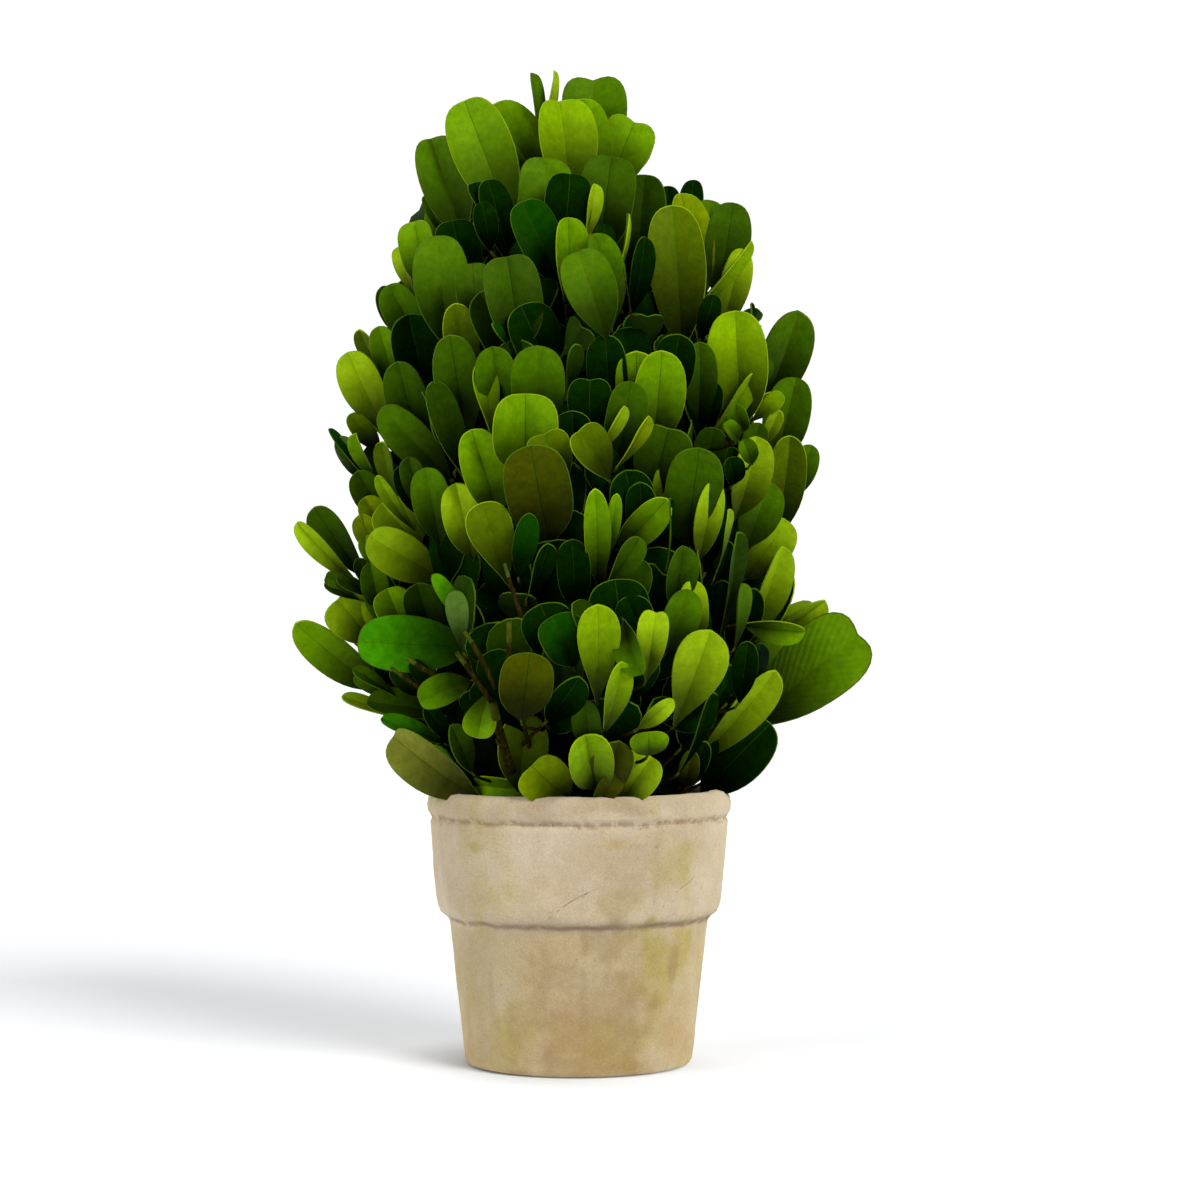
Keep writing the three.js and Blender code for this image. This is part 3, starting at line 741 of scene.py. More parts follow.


# ---------------------------------------------------------------- the front's own leaves

# Leaves of the front, one by one and region by region: the tip's and the root's place (x and height, in
# millimetres), the blade's width, how far it turns about its length (degrees), how sharply it folds along its
# rib (0 is nearly flat), how deep its tip lies behind the crown's front, its kind and its tint.
# A tint is partly painted light and shade: leaves that lie in shadow mostly have the darkest tints, and a few
# have a brighter one so that they look lit.
FRONT_LEAVES = [
    # top
    (-29.0, 242.6, -16.5, 210.0, 16.8, 0, 14, 4, "oval", "fresh"),
    (-23.5, 241.5, -7.8, 219.0, 15.3, 20, 25, 10, "oval", "fresh"),
    (-37.6, 233.2, -28.8, 205.8, 14.2, 0, 20, 8, "oval", "mid"),
    (-12.0, 250.2, -10.4, 230.1, 8.4, 62, 10, 12, "paddle", "mid"),
    (-6.0, 251.2, -9.4, 233.1, 6.4, 78, 10, 14, "paddle", "lime"),
    (3.5, 251.0, 4.4, 222.1, 17.8, 0, 8, 14, "notched", "mid"),
    (14.9, 239.3, 6.5, 217.9, 15.0, 0, 6, 12, "notched", "fresh"),
    (-5.0, 241.9, -2.2, 215.5, 16.0, 10, 30, 4, "oval", "light"),
    (0.8, 243.6, 3.4, 216.2, 11.7, 20, 15, 8, "oval", "fresh"),
    (-8.1, 225.2, -8.1, 202.1, 14.3, 0, 8, 6, "round", "mid"),
    (8.4, 227.0, 5.4, 200.8, 15.0, 0, 12, 6, "round", "shade"),
    (-1.9, 220.4, -3.9, 198.5, 12.5, 0, 10, 3, "round", "dark"),
    (-13.7, 212.5, -4.3, 192.0, 11.6, 0, 12, 0, "round", "deep"),
    (4.4, 217.5, 1.3, 201.0, 7.3, 68, 10, 0, "paddle", "lime"),
    (-2.3, 208.2, -3.2, 188.0, 9.5, 25, 40, 0, "oval", "fresh"),
    (3.5, 204.3, 8.3, 180.8, 9.6, 30, 20, 1, "oval", "mid"),
    (-0.1, 199.2, 7.1, 177.8, 13.3, 0, 12, -3, "oval", "mid"),
    (22.9, 214.1, 25.7, 176.5, 15.3, 0, 8, -1, "oval", "olive"),
    (25.7, 218.6, 28.5, 186.3, 12.5, 20, 15, 4, "oval", "yellow"),
    (16.8, 223.1, 15.0, 191.5, 14.0, -10, 10, 2, "oval", "moss"),
    (22.4, 221.5, 22.6, 199.7, 8.6, 0, 10, 12, "round", "dark"),
    (29.3, 223.4, 27.3, 200.0, 7.1, 0, 10, 14, "round", "dark"),
    (33.2, 217.6, 31.2, 191.9, 10.6, 0, 12, 10, "oval", "mid"),
    (38.9, 216.4, 34.6, 190.2, 12.1, 10, 12, 6, "oval", "shade"),
    (43.3, 205.4, 24.8, 184.5, 6.0, 60, 30, -5, "paddle", "light"),
    (40.9, 204.2, 35.4, 182.3, 8.5, 10, 20, 3, "oval", "lime"),
    (12.2, 209.8, 9.8, 194.6, 6.3, 75, 10, 0, "paddle", "light"),
    (16.3, 204.7, 12.7, 185.3, 7.3, 30, 10, 6, "oval", "dark"),
    (6.4, 207.2, 6.8, 190.8, 5.3, 0, 10, 3, "round", "dark"),
    (-22.4, 219.7, -16.7, 198.3, 8.8, 10, 15, 6, "oval", "dark"),
    (-26.6, 218.8, -19.2, 202.1, 6.4, 40, 20, 4, "paddle", "dark"),
    (-31.1, 209.9, -26.6, 189.9, 11.8, 0, 12, 6, "round", "dark"),
    # upper left
    (-41.2, 211.2, -36.7, 193.7, 10.0, -15, 20, 4, "round", "fresh"),
    (-45.9, 205.1, -40.4, 191.5, 6.0, -55, 10, 8, "paddle", "lime"),
    (-34.5, 205.6, -32.0, 177.2, 14.7, 0, 12, -2, "oval", "mid"),
    (-25.6, 198.0, -24.2, 181.5, 9.7, 0, 8, 4, "round", "shade"),
    (-16.9, 198.7, -13.3, 174.7, 14.4, 0, 20, 0, "round", "shade"),
    (-23.9, 190.3, -13.8, 170.1, 13.0, 10, 10, 2, "round", "moss"),
    (-48.0, 195.2, -37.7, 178.7, 10.5, -15, 35, 6, "oval", "mid"),
    (-42.0, 187.1, -37.1, 165.4, 12.8, 0, 8, 2, "round", "dark"),
    (-29.5, 187.6, -26.3, 168.9, 9.1, 0, 12, -1, "oval", "olive"),
    (-55.5, 184.5, -45.5, 166.9, 6.5, -40, 10, 10, "paddle", "olive"),
    (-50.3, 185.0, -45.3, 168.7, 7.5, 0, 10, 7, "round", "fresh"),
    (-58.0, 178.4, -48.4, 158.6, 11.5, -10, 10, 6, "oval", "lime"),
    (-44.5, 174.9, -38.8, 152.8, 11.3, 0, 10, 0, "oval", "shade"),
    (-30.7, 179.8, -26.6, 154.3, 12.0, 0, 12, -3, "oval", "shade"),
    (-48.6, 163.7, -31.2, 145.8, 11.0, 0, 10, -6, "oval", "mid"),
    (-34.8, 168.6, -27.6, 145.9, 8.1, 15, 12, -4, "oval", "moss"),
    (-20.3, 176.6, -17.2, 160.0, 10.9, 0, 28, 0, "round", "mid"),
    (-13.6, 178.3, -14.8, 163.6, 11.9, 0, 10, 3, "round", "moss"),
    (-9.4, 176.2, -8.7, 157.2, 13.6, 0, 10, -4, "round", "mid"),
    (-13.7, 186.6, -7.0, 169.6, 13.3, 20, 15, 2, "round", "dark"),
    (-0.3, 176.7, -2.6, 164.4, 5.4, 45, 10, 0, "paddle", "moss"),
    (-20.2, 181.6, -15.9, 175.7, 3.8, 50, 10, -4, "paddle", "deep"),
    (-23.1, 173.1, -20.3, 154.1, 7.0, 25, 10, 1, "paddle", "light"),
    # centre
    (-12.2, 164.9, -12.2, 145.4, 16.4, 0, 22, -3, "round", "fresh"),
    (6.6, 179.4, 8.3, 159.9, 10.5, 0, 10, 3, "round", "dark"),
    (13.9, 175.4, 14.9, 158.7, 10.9, 0, 10, 2, "round", "fresh"),
    (20.1, 175.5, 17.7, 151.5, 13.3, 0, 14, -2, "oval", "fresh"),
    (12.7, 167.7, 9.6, 148.9, 10.3, 0, 12, -4, "round", "shade"),
    (3.0, 169.3, 2.6, 151.4, 11.3, 0, 6, 0, "notched", "dark"),
    (11.3, 161.6, 4.5, 149.9, 4.8, 44, 15, -6, "paddle", "lime"),
    (17.1, 159.4, 9.2, 147.0, 4.8, 44, 15, -6, "paddle", "yellow"),
    (22.0, 158.1, 17.2, 139.6, 14.7, 0, 10, -2, "notched", "shade"),
    (24.6, 180.1, 21.0, 164.0, 11.0, 0, 10, 4, "round", "dark"),
    (29.4, 178.5, 29.4, 159.2, 9.0, 0, 10, 4, "oval", "shade"),
    (-1.2, 160.8, -0.5, 149.0, 9.9, 0, 10, 0, "round", "dark"),
    (-8.2, 155.8, -2.8, 142.9, 11.2, 0, 8, -5, "notched", "olive"),
    (-0.4, 156.2, 7.7, 144.0, 10.7, 20, 15, -6, "notched", "olive"),
    (-10.8, 152.6, -6.3, 128.8, 16.8, 0, 6, -9, "round", "brown"),
    (-25.1, 156.6, -18.6, 134.9, 11.6, 0, 16, -5, "oval", "fresh"),
    (-28.9, 144.0, -25.0, 125.5, 10.4, 0, 12, -4, "oval", "lime"),
    (-22.7, 139.2, -16.2, 119.5, 11.7, 0, 8, -9, "paddle", "olive"),
    (-10.9, 136.5, -14.0, 121.1, 6.3, 0, 10, -8, "oval", "deep"),
    (-6.6, 129.6, -12.2, 115.5, 6.1, 35, 15, -4, "paddle", "dark"),
    (4.2, 142.3, 4.7, 119.5, 6.8, 0, 14, -8, "oval", "fresh"),
    (9.4, 141.0, 7.0, 125.3, 4.0, 0, 8, -8, "oval", "fresh"),
    (21.4, 140.0, 9.6, 128.2, 8.9, 20, 15, -6, "oval", "fresh"),
    (11.3, 146.9, 14.8, 130.1, 11.8, 0, 12, -1, "round", "dark"),
    (14.8, 144.0, 16.0, 130.1, 8.0, 0, 12, -3, "round", "dark"),
    (22.5, 149.2, 21.5, 135.0, 10.0, 0, 10, 4, "round", "lime"),
    (28.9, 152.4, 26.1, 128.3, 14.6, 0, 8, -8, "round", "shade"),
    (32.8, 144.6, 29.0, 125.0, 7.1, 10, 16, -10, "oval", "lime"),
    (43.5, 156.0, 38.6, 135.9, 10.7, 10, 18, -3, "oval", "lime"),
    (52.8, 157.4, 49.8, 131.0, 10.5, 15, 16, 3, "oval", "olive"),
    (58.7, 155.2, 53.1, 141.1, 7.6, 0, 10, 9, "oval", "mid"),
    (46.8, 145.5, 41.1, 128.3, 12.0, 10, 10, 1, "oval", "mid"),
    (51.7, 136.4, 41.5, 121.0, 11.0, 10, 25, 2, "oval", "lime"),
    (50.8, 129.6, 42.5, 106.1, 9.5, 25, 30, -2, "oval", "lime"),
    (25.0, 129.0, 22.4, 113.2, 8.5, 20, 38, -6, "oval", "shade"),
    (-1.2, 130.6, -0.5, 113.7, 8.5, 0, 10, -2, "round", "dark"),
    (14.8, 131.0, 6.1, 117.9, 7.0, 35, 15, -6, "paddle", "shade"),
    (8.9, 121.2, 10.6, 105.4, 15.5, 0, 10, -3, "round", "dark"),
    (12.9, 117.4, 15.3, 104.3, 9.9, 0, 10, -4, "round", "dark"),
    (27.1, 121.0, 27.6, 105.4, 7.6, 0, 12, -6, "round", "lime"),
    (26.1, 118.8, 20.9, 103.1, 9.9, 20, 14, -9, "oval", "mid"),
    (36.2, 137.9, 32.8, 120.3, 6.2, 74, 10, -6, "paddle", "light"),
    (38.3, 132.7, 34.5, 106.0, 8.5, 58, 12, -8, "paddle", "moss"),
    (21.8, 140.2, 21.3, 123.5, 4.2, 74, 10, -8, "paddle", "dark"),
    (39.6, 120.3, 38.1, 104.0, 6.7, 45, 12, -3, "paddle", "mid"),
    # upper right
    (38.2, 186.7, 40.6, 158.5, 16.0, 0, 16, -3, "oval", "light"),
    (55.2, 188.9, 46.7, 164.9, 14.0, 10, 10, 6, "oval", "mid"),
    (54.7, 172.1, 49.2, 148.5, 12.5, 0, 10, 6, "oval", "mid"),
    (43.5, 171.9, 27.7, 151.2, 5.8, 30, 22, -5, "paddle", "light"),
    (50.6, 167.4, 42.7, 160.2, 5.0, 20, 10, -3, "paddle", "light"),
    (50.0, 163.3, 44.5, 151.9, 4.6, 20, 10, -2, "paddle", "lime"),
    # left middle
    (-62.8, 159.4, -52.8, 145.1, 3.0, 35, 8, 8, "paddle", "deep"),
    (-55.9, 158.0, -50.2, 144.8, 6.5, -55, 20, 6, "paddle", "fresh"),
    (-55.6, 148.6, -47.8, 134.8, 9.5, -10, 10, 8, "oval", "shade"),
    (-48.8, 155.8, -44.3, 137.9, 6.5, -45, 12, 2, "paddle", "olive"),
    (-49.7, 147.0, -40.3, 132.9, 4.5, -15, 10, -6, "paddle", "light"),
    (-49.4, 140.2, -39.5, 129.0, 12.5, 0, 10, 3, "round", "lime"),
    (-52.0, 132.1, -33.7, 121.4, 12.4, 0, 12, -3, "oval", "lime"),
    (-36.7, 148.2, -33.1, 129.2, 10.1, 0, 10, 0, "oval", "mid"),
    (-41.2, 151.0, -37.8, 139.1, 6.8, 0, 10, 1, "round", "shade"),
    (-66.6, 139.8, -52.8, 120.5, 9.5, -20, 14, 8, "paddle", "shade"),
    (-70.5, 135.8, -54.2, 119.0, 6.0, -10, 30, 3, "paddle", "lime"),
    (-51.9, 125.5, -49.9, 113.0, 7.5, 0, 12, 2, "oval", "mid"),
    (-34.4, 122.2, -28.7, 112.4, 4.7, 20, 10, -9, "oval", "spring"),
    (-28.7, 118.6, -27.0, 103.1, 5.9, 0, 10, -11, "paddle", "pale"),
    (-61.2, 117.0, -52.0, 104.7, 14.0, 10, 8, 6, "notched", "lime"),
    (-47.7, 119.0, -43.5, 108.1, 10.4, 0, 10, 6, "round", "fresh"),
    (-39.3, 120.3, -35.7, 108.3, 10.1, 0, 10, 8, "round", "moss"),
    (-54.4, 105.7, -24.0, 104.2, 15.0, 5, 12, -11, "oval", "vivid"),
    (-71.3, 110.5, -50.2, 92.9, 11.0, 0, 10, 7, "oval", "fresh"),
    (-59.7, 92.0, -41.0, 84.5, 5.0, 40, 10, 6, "paddle", "lime"),
    (-53.3, 90.5, -33.3, 87.0, 9.0, 30, 14, 4, "oval", "shade"),
    (-49.3, 86.7, -33.1, 80.0, 5.4, 20, 14, -1, "oval", "vivid"),
    (-56.4, 99.0, -44.5, 91.1, 5.0, 50, 10, 3, "paddle", "mid"),
    (-37.7, 91.4, -25.2, 96.9, 8.5, 20, 18, -14, "oval", "mid"),
    (-23.8, 83.0, -20.9, 94.6, 8.6, 0, 14, -13, "paddle", "fresh"),
    # lower front
    (-10.9, 104.1, -13.2, 87.6, 13.5, 0, 6, -12, "round", "brown"),
    (-12.2, 89.0, -14.3, 69.0, 13.0, 0, 10, 11, "oval", "olive"),
    (-30.6, 86.0, -25.8, 73.9, 7.2, 45, 12, -5, "oval", "shade"),
    (-46.1, 82.6, -23.3, 66.5, 12.9, -15, 18, -5, "oval", "khaki"),
    (-25.9, 70.7, -9.4, 70.2, 7.2, -20, 12, -5, "oval", "fresh"),
    (-11.8, 76.9, -2.0, 67.5, 13.4, 0, 14, -3, "notched", "yellow"),
    (1.6, 85.6, 4.5, 70.1, 11.6, 0, 20, -6, "notched", "light"),
    (10.1, 82.8, 4.9, 69.8, 11.0, 0, 10, -7, "round", "brown"),
    (9.7, 74.9, 3.0, 65.3, 6.5, 20, 10, -8, "paddle", "brown"),
    (18.5, 79.3, 10.6, 67.0, 11.4, 0, 16, -4, "notched", "lime"),
    (16.8, 85.3, 16.8, 79.0, 9.9, 0, 12, -8, "notched", "fresh"),
    (4.9, 115.5, 4.7, 91.5, 10.9, 0, 10, -13, "paddle", "light"),
    (10.5, 102.1, 5.9, 83.9, 7.0, 20, 14, -11, "paddle", "light"),
    (18.6, 114.4, 16.2, 96.9, 7.9, 0, 18, -13, "notched", "lime"),
    (15.5, 98.5, 11.0, 111.4, 8.5, 30, 25, -12, "oval", "mid"),
    (31.7, 109.4, 23.2, 85.8, 13.7, 0, 16, -12, "paddle", "lime"),
    (22.7, 92.8, 14.3, 85.6, 4.7, 20, 10, -12, "oval", "lime"),
    (49.1, 99.3, 27.5, 73.8, 10.2, 10, 30, -9, "paddle", "lime"),
    (72.0, 109.4, 43.0, 83.2, 21.0, -12, 8, 0, "notched", "veined"),
    (48.2, 85.6, 30.8, 66.7, 15.4, 0, 10, 1, "oval", "dark"),
    (56.1, 108.1, 40.3, 110.1, 6.9, 25, 25, -7, "oval", "fresh"),
    (61.7, 116.0, 49.8, 108.0, 8.0, 20, 20, 3, "oval", "lime"),
    (-2.8, 108.1, -3.9, 91.5, 10.7, 0, 10, -6, "round", "moss"),
    (-8.6, 115.3, -3.5, 103.1, 13.6, 0, 10, -6, "round", "dark"),
    (-5.8, 112.5, -0.7, 100.2, 12.1, 15, 12, -8, "round", "deep"),
    (-1.1, 115.3, 5.9, 105.5, 7.9, 30, 10, -8, "oval", "moss"),
    (0.7, 98.3, -7.4, 87.5, 9.3, 20, 14, -7, "oval", "dark"),
    (1.9, 92.6, 3.1, 81.4, 7.5, 0, 12, -2, "round", "shade"),
    (41.1, 106.3, 39.2, 90.6, 6.8, 0, 10, -3, "oval", "dark"),
    (32.1, 94.6, 24.4, 73.6, 6.2, 50, 14, -5, "paddle", "dark"),
    # small curled and edge-on leaves at the sides
    (34.7, 158.0, 38.6, 154.0, 4.5, 30, 50, -7, "round", "mid"),
    (37.8, 163.0, 40.2, 156.5, 5.5, -20, 45, -7, "round", "mid"),
    (39.5, 154.5, 42.0, 148.4, 5.0, 25, 40, -6, "round", "mid"),
    (36.0, 150.0, 37.5, 143.5, 6.0, 20, 40, -7, "round", "dark"),
    (46.8, 176.0, 45.0, 168.0, 4.2, 20, 30, -2, "notched", "mid"),
    (-63.4, 122.0, -54.0, 118.5, 4.4, 0, 40, 4, "paddle", "shade"),
    (-63.6, 120.4, -54.5, 115.8, 3.2, 0, 40, 4, "paddle", "shade"),
    (-60.5, 121.5, -50.0, 115.5, 4.2, 20, 30, 3, "paddle", "moss"),
    # leaves further in that close the view through the crown
    (33.0, 158.0, 30.0, 144.0, 9.0, 0, 10, 8, "oval", "moss"),
    (45.0, 160.0, 41.0, 148.0, 7.0, 0, 10, 8, "oval", "shade"),
    (44.0, 119.0, 38.0, 103.0, 9.0, 0, 10, 8, "oval", "dark"),
    (-45.0, 88.0, -36.0, 80.0, 5.0, 0, 10, 6, "oval", "dark"),
    (-52.5, 119.0, -46.0, 109.0, 7.0, 0, 10, 6, "oval", "mid"),
    (-54.0, 142.0, -47.0, 131.0, 8.0, 0, 10, 9, "oval", "yellow"),
    (-60.6, 157.2, -53.0, 146.0, 6.5, 0, 10, 9, "oval", "pale"),
    (16.5, 238.5, 13.0, 224.0, 8.5, 0, 10, 17, "oval", "fresh"),
    (34.0, 212.0, 30.0, 200.0, 8.0, 0, 10, 12, "oval", "dark"),
    (28.0, 79.5, 26.5, 69.5, 5.5, 0, 10, 2, "oval", "brown"),
    (-49.6, 195.2, -43.5, 182.0, 7.5, 0, 10, 9, "oval", "moss"),
    (-53.0, 117.0, -48.0, 106.0, 7.0, 0, 10, 8, "oval", "lime"),
    (-38.0, 215.0, -33.0, 204.0, 5.0, 0, 10, 11, "oval", "fresh"),
    (35.3, 121.0, 33.5, 108.0, 7.0, 0, 10, 8, "oval", "dark"),
    (45.5, 105.5, 42.0, 94.0, 6.5, 0, 10, 8, "oval", "slate"),
    (33.5, 169.0, 32.0, 157.5, 5.5, 0, 10, 9, "oval", "dark"),
    (38.0, 153.5, 35.5, 142.5, 5.0, 0, 10, 9, "oval", "dark"),
    (-57.8, 162.8, -50.0, 153.5, 6.0, 0, 10, 9, "oval", "olive"),
    (-39.2, 218.5, -33.5, 207.0, 3.6, 0, 10, 10, "oval", "mid"),
    (-55.5, 137.5, -48.0, 126.0, 7.5, 0, 10, 9, "oval", "yellow"),
    (-56.5, 97.0, -46.0, 91.5, 4.6, 0, 10, 8, "oval", "mid"),
    (-50.5, 103.0, -44.5, 94.0, 7.0, 0, 10, 7, "oval", "dark"),
    (-37.5, 90.0, -31.0, 81.0, 5.0, 0, 10, 6, "oval", "dark"),
    (36.8, 130.5, 34.0, 118.0, 5.5, 0, 10, 8, "oval", "dark"),
    (-54.5, 132.0, -47.5, 122.0, 6.5, 0, 10, 9, "oval", "fresh"),
    (-46.5, 99.0, -40.0, 92.0, 4.5, 0, 10, 7, "oval", "moss"),
    (-44.5, 149.0, -40.0, 137.0, 5.5, 0, 10, 8, "oval", "dark"),
    (-29.5, 77.0, -24.5, 69.8, 4.5, 0, 10, -2, "oval", "dark"),
    (-55.8, 126.5, -49.0, 117.0, 5.5, 0, 10, 8, "oval", "moss"),
    (-40.5, 101.5, -35.0, 94.0, 5.0, 0, 10, 4, "oval", "dark"),
    (31.5, 81.5, 27.5, 71.0, 6.0, 0, 10, 2, "oval", "dark"),
    (-23.5, 213.5, -21.5, 201.0, 6.5, 0, 10, 5, "oval", "dark"),
    (33.5, 191.0, 30.0, 180.0, 6.0, 0, 10, 7, "oval", "dark"),
]


FACE_INSET = 10.0  # how deep under the outline the tips of layer 0 lie
RIM_CLEAR = 73.0  # leaves whose roots lie lower than this start inside the rim
RIM_INSIDE = 29.0  # on a circle of this radius
RIM_BEHIND = -10.0  # or, where they lie further aside than the circle, no further forward than this
FRONT_TRIES = 12
FRONT_PITCH = (12.0, 38.0)  # degrees that the front's leaves lean out
TOP_PITCH = (-6.0, 10.0)
TOP_FROM = CROWN["shoulder"] + 40  # leaves whose tips lie higher stand nearly upright
FRONT_TURN = 9.0  # how far they turn aside at most
FRONT_BEND = (25.0, 52.0)  # degrees that their blades curve back, from root to tip
LEAST_FOLD = 4.0  # degrees that a blade folds along its rib
MOST_FOLD = 32.0
WIDTH_MADE = 0.945  # a blade's width beside the one that its row gives


def front_depth(x, height, layer):
    """How far towards the front a point of the crown's face lies."""
    radius = max(6.0, float(outline_at(height)) - FACE_INSET)
    aside = x - float(lean_at(height))
    return -math.sqrt(max(radius**2 - aside**2, (0.2 * radius) ** 2)) + layer


def front_leaf(row, draw):
    """A leaf of the front from its row of sizes. How far it leans out is drawn, as no row gives it."""
    x, height, root_x, root_height, width, turn, fold, layer, kind, tint = row
    y = front_depth(x, height, layer)
    reach = math.hypot(x - root_x, height - root_height)
    # A leaf that lies across the front leans out less than one that stands.
    upright = min(1.0, 1.3 * abs(height - root_height) / reach)
    pitch = between(FRONT_PITCH if height < TOP_FROM else TOP_PITCH, draw()) * upright
    tip = np.array([x, y, height])
    root = np.array([root_x, y + reach * math.tan(math.radians(pitch)), root_height])
    if root_height < RIM_CLEAR:
        # The lowest leaves come up from inside the pot's rim.
        inside = abs(root_x) < RIM_INSIDE - 0.5
        root[1] = -math.sqrt(RIM_INSIDE**2 - root_x**2) if inside else max(root[1], RIM_BEHIND)
    direction = unit(tip - root)
    facing = np.array([0.0, -1.0, 0.0])
    normal = unit(facing - direction * float(facing @ direction))
    folded = math.radians(min(LEAST_FOLD + fold * 1.5, MOST_FOLD))
    # A leaf seen edge-on is drawn straighter, so that its curve doesn't carry it sideways.
    edge_on = abs(math.sin(math.radians(turn)))
    return {
        "tier": 0,
        "root": root,
        "direction": direction,
        "normal": rotated(normal, direction, math.radians(turn + FRONT_TURN * either(draw))),
        "length": float(np.linalg.norm(tip - root)),
        "width": WIDTH_MADE * width / math.cos(folded),
        "kind": kind,
        "tint": tint,
        "fold": folded,
        "bend": math.radians(between(FRONT_BEND, draw())) * (1 - 0.75 * edge_on),
    }


FRONT_TWIGS = {  # the twigs that carry the front's leaves
    "drop": 3.0,
    "lowest_foot": 65.0,
    "highest_foot": 196.0,
    "foot_share": 0.92,
    "past_root": 0.6,
    "foot_radius": 0.5,
    "tip_radius": 0.32,
}


def grow_front(crown, draw):
    """Places the front's leaves and gives each a twig from the core."""
    t = FRONT_TWIGS
    twigs = []
    for row in FRONT_LEAVES:
        for _ in range(FRONT_TRIES):
            leaf = front_leaf(row, draw)
            if crown.is_clear(leaf, blade_points(leaf)):
                break
        root, direction = leaf["root"], leaf["direction"]
        turn = math.atan2(root[1], root[0] - float(lean_at(root[2])))
        height = min(max(root[2] - t["drop"], t["lowest_foot"]), t["highest_foot"])
        radius = float(core_radius_at(height)) * t["foot_share"]
        foot = np.array([float(lean_at(height)) + radius * math.cos(turn), radius * math.sin(turn), height])
        leaf["tier"] = tier_at(height)
        middle = root - direction * min(0.2 * np.linalg.norm(root - foot), 2.5)
        tip = root + direction * t["past_root"]
        twigs.append((foot, middle, tip, t["foot_radius"], t["tip_radius"]))
        points = blade_points(leaf)
        crown.add(leaf, points)
        across = np.cross(direction, leaf["normal"])
        along = direction[[0, 2]]
        flat = unit(along) if np.linalg.norm(along) > 1e-6 else np.array([0.0, 1.0])
        half_length = 0.5 * leaf["length"] * max(np.linalg.norm(along), 0.2)
        shown = abs(float(across[[0, 2]] @ np.array([-flat[1], flat[0]])))
        half_width = 0.5 * leaf["width"] * max(shown, 0.15)
        centre = root + direction * leaf["length"] * 0.58
        normal = leaf["normal"] if leaf["normal"][1] < 0 else -leaf["normal"]
        crown.fronts.append([*centre, *flat, -flat[1], flat[0], half_length, half_width * 1.03, *normal])
    return twigs


# ---------------------------------------------------------------- dealing out kinds and tints

# How often each tint and each kind comes up, by sprig and by leaf.
TINT_SHARES = [
    ("light", 0.16),
    ("fresh", 0.16),
    ("mid", 0.2),
    ("moss", 0.14),
    ("olive", 0.1),
    ("deep", 0.1),
    ("yellow", 0.04),
    ("vivid", 0.05),
    ("dark", 0.05),
]
KIND_SHARES = [("oval", 0.42), ("round", 0.28), ("notched", 0.17), ("paddle", 0.13)]
DARKER = {
    "light": "fresh",
    "fresh": "mid",
    "mid": "moss",
    "moss": "dark",
    "olive": "moss",
    "deep": "dark",
    "yellow": "olive",
    "vivid": "deep",
    "dark": "dark",
}
# Painted shade: leaves that lie deep in the crown, or behind the front's own leaves, take darker tints.
SHADE_DEPTHS = (6.0, 11.0, 17.0)  # a leaf turns one tint darker past each of these depths
FRONT_SHADE = 10.0  # leaves behind the front's own count as this much deeper
RULE_FOLD = (6.0, 22.0)  # degrees that the leaves grown by rule fold and curve back
RULE_BEND = (8.0, 42.0)


def dealt(shares, draw):
    """One name dealt out by its share."""
    left = draw() * sum(share for _, share in shares)
    for name, share in shares:
        left -= share
        if left <= 0:
            return name
    return shares[-1][0]


def shaded(tint, points):
    """A darker tint, painted shade, for a leaf that lies deep under the crown's outline."""
    radius = from_axis(points)
    facing = np.clip(-points[:, 1] / np.maximum(radius, 1.0), 0, 1)
    depth = (outline_at(points[:, 2]) - radius + FRONT_SHADE * facing**2).min()
    for limit in SHADE_DEPTHS:
        if depth > limit:
            tint = DARKER[tint]
    return tint


def grow_by_rule(crown, shoots, pairs, spacing, draw):
    """Grows pairs of leaves on every shoot, the outermost first, and returns the shoots' twigs."""
    tints = [dealt(TINT_SHARES, draw) for _ in shoots]
    reached = [0.0] * len(shoots)
    for place in range(pairs):
        for number, (shoot, tint) in enumerate(zip(shoots, tints)):
            if shoot["twig"] - place * spacing < SPRIGS["barest_twig"]:
                continue
            for half in (0, 1):
                for attempt in range(LEAF["tries"]):
                    leaf = grow_leaf(shoot, place, half, attempt, draw)
                    points = blade_points(leaf)
                    if crown.fits(leaf, points):
                        leaf["kind"] = dealt(KIND_SHARES, draw)
                        # Painted shade: leaves further in along a twig take one tint darker still.
                        leaf["tint"] = shaded(tint, points) if place == 0 else DARKER[shaded(tint, points)]
                        leaf["fold"] = math.radians(between(RULE_FOLD, draw() ** 2))
                        leaf["bend"] = math.radians(between(RULE_BEND, draw()))
                        crown.add(leaf, points)
                        reached[number] = max(reached[number], shoot["twig"] - place * spacing)
                        break
    twigs = []
    for shoot, reach in zip(shoots, reached):
        if reach:
            root = shoot["root"] - shoot["axis"] * 4
            tip = shoot["root"] + shoot["axis"] * (reach + 0.5)
            sag = shoot["out"] * 0.05 * np.linalg.norm(tip - root)
            twigs.append((root, (root + tip) / 2 + sag, tip, 0.75 * shoot["scale"], 0.4))
    return twigs


# ---------------------------------------------------------------- meshes from arrays

LEAF_THICKNESS = 0.35
ROLL_BACK = 0.05  # how far the margins roll back, as a share of the width
WAVE = 0.012  # how high the margins wave
TUBE_SIDES = 6
TUBE_STEPS = 5


def of_all(leaves, key):
    """One value or vector of every leaf, shaped to be combined with every point of its blade."""
    values = np.array([leaf[key] for leaf in leaves])
    return values.reshape(len(leaves), 1, -1)


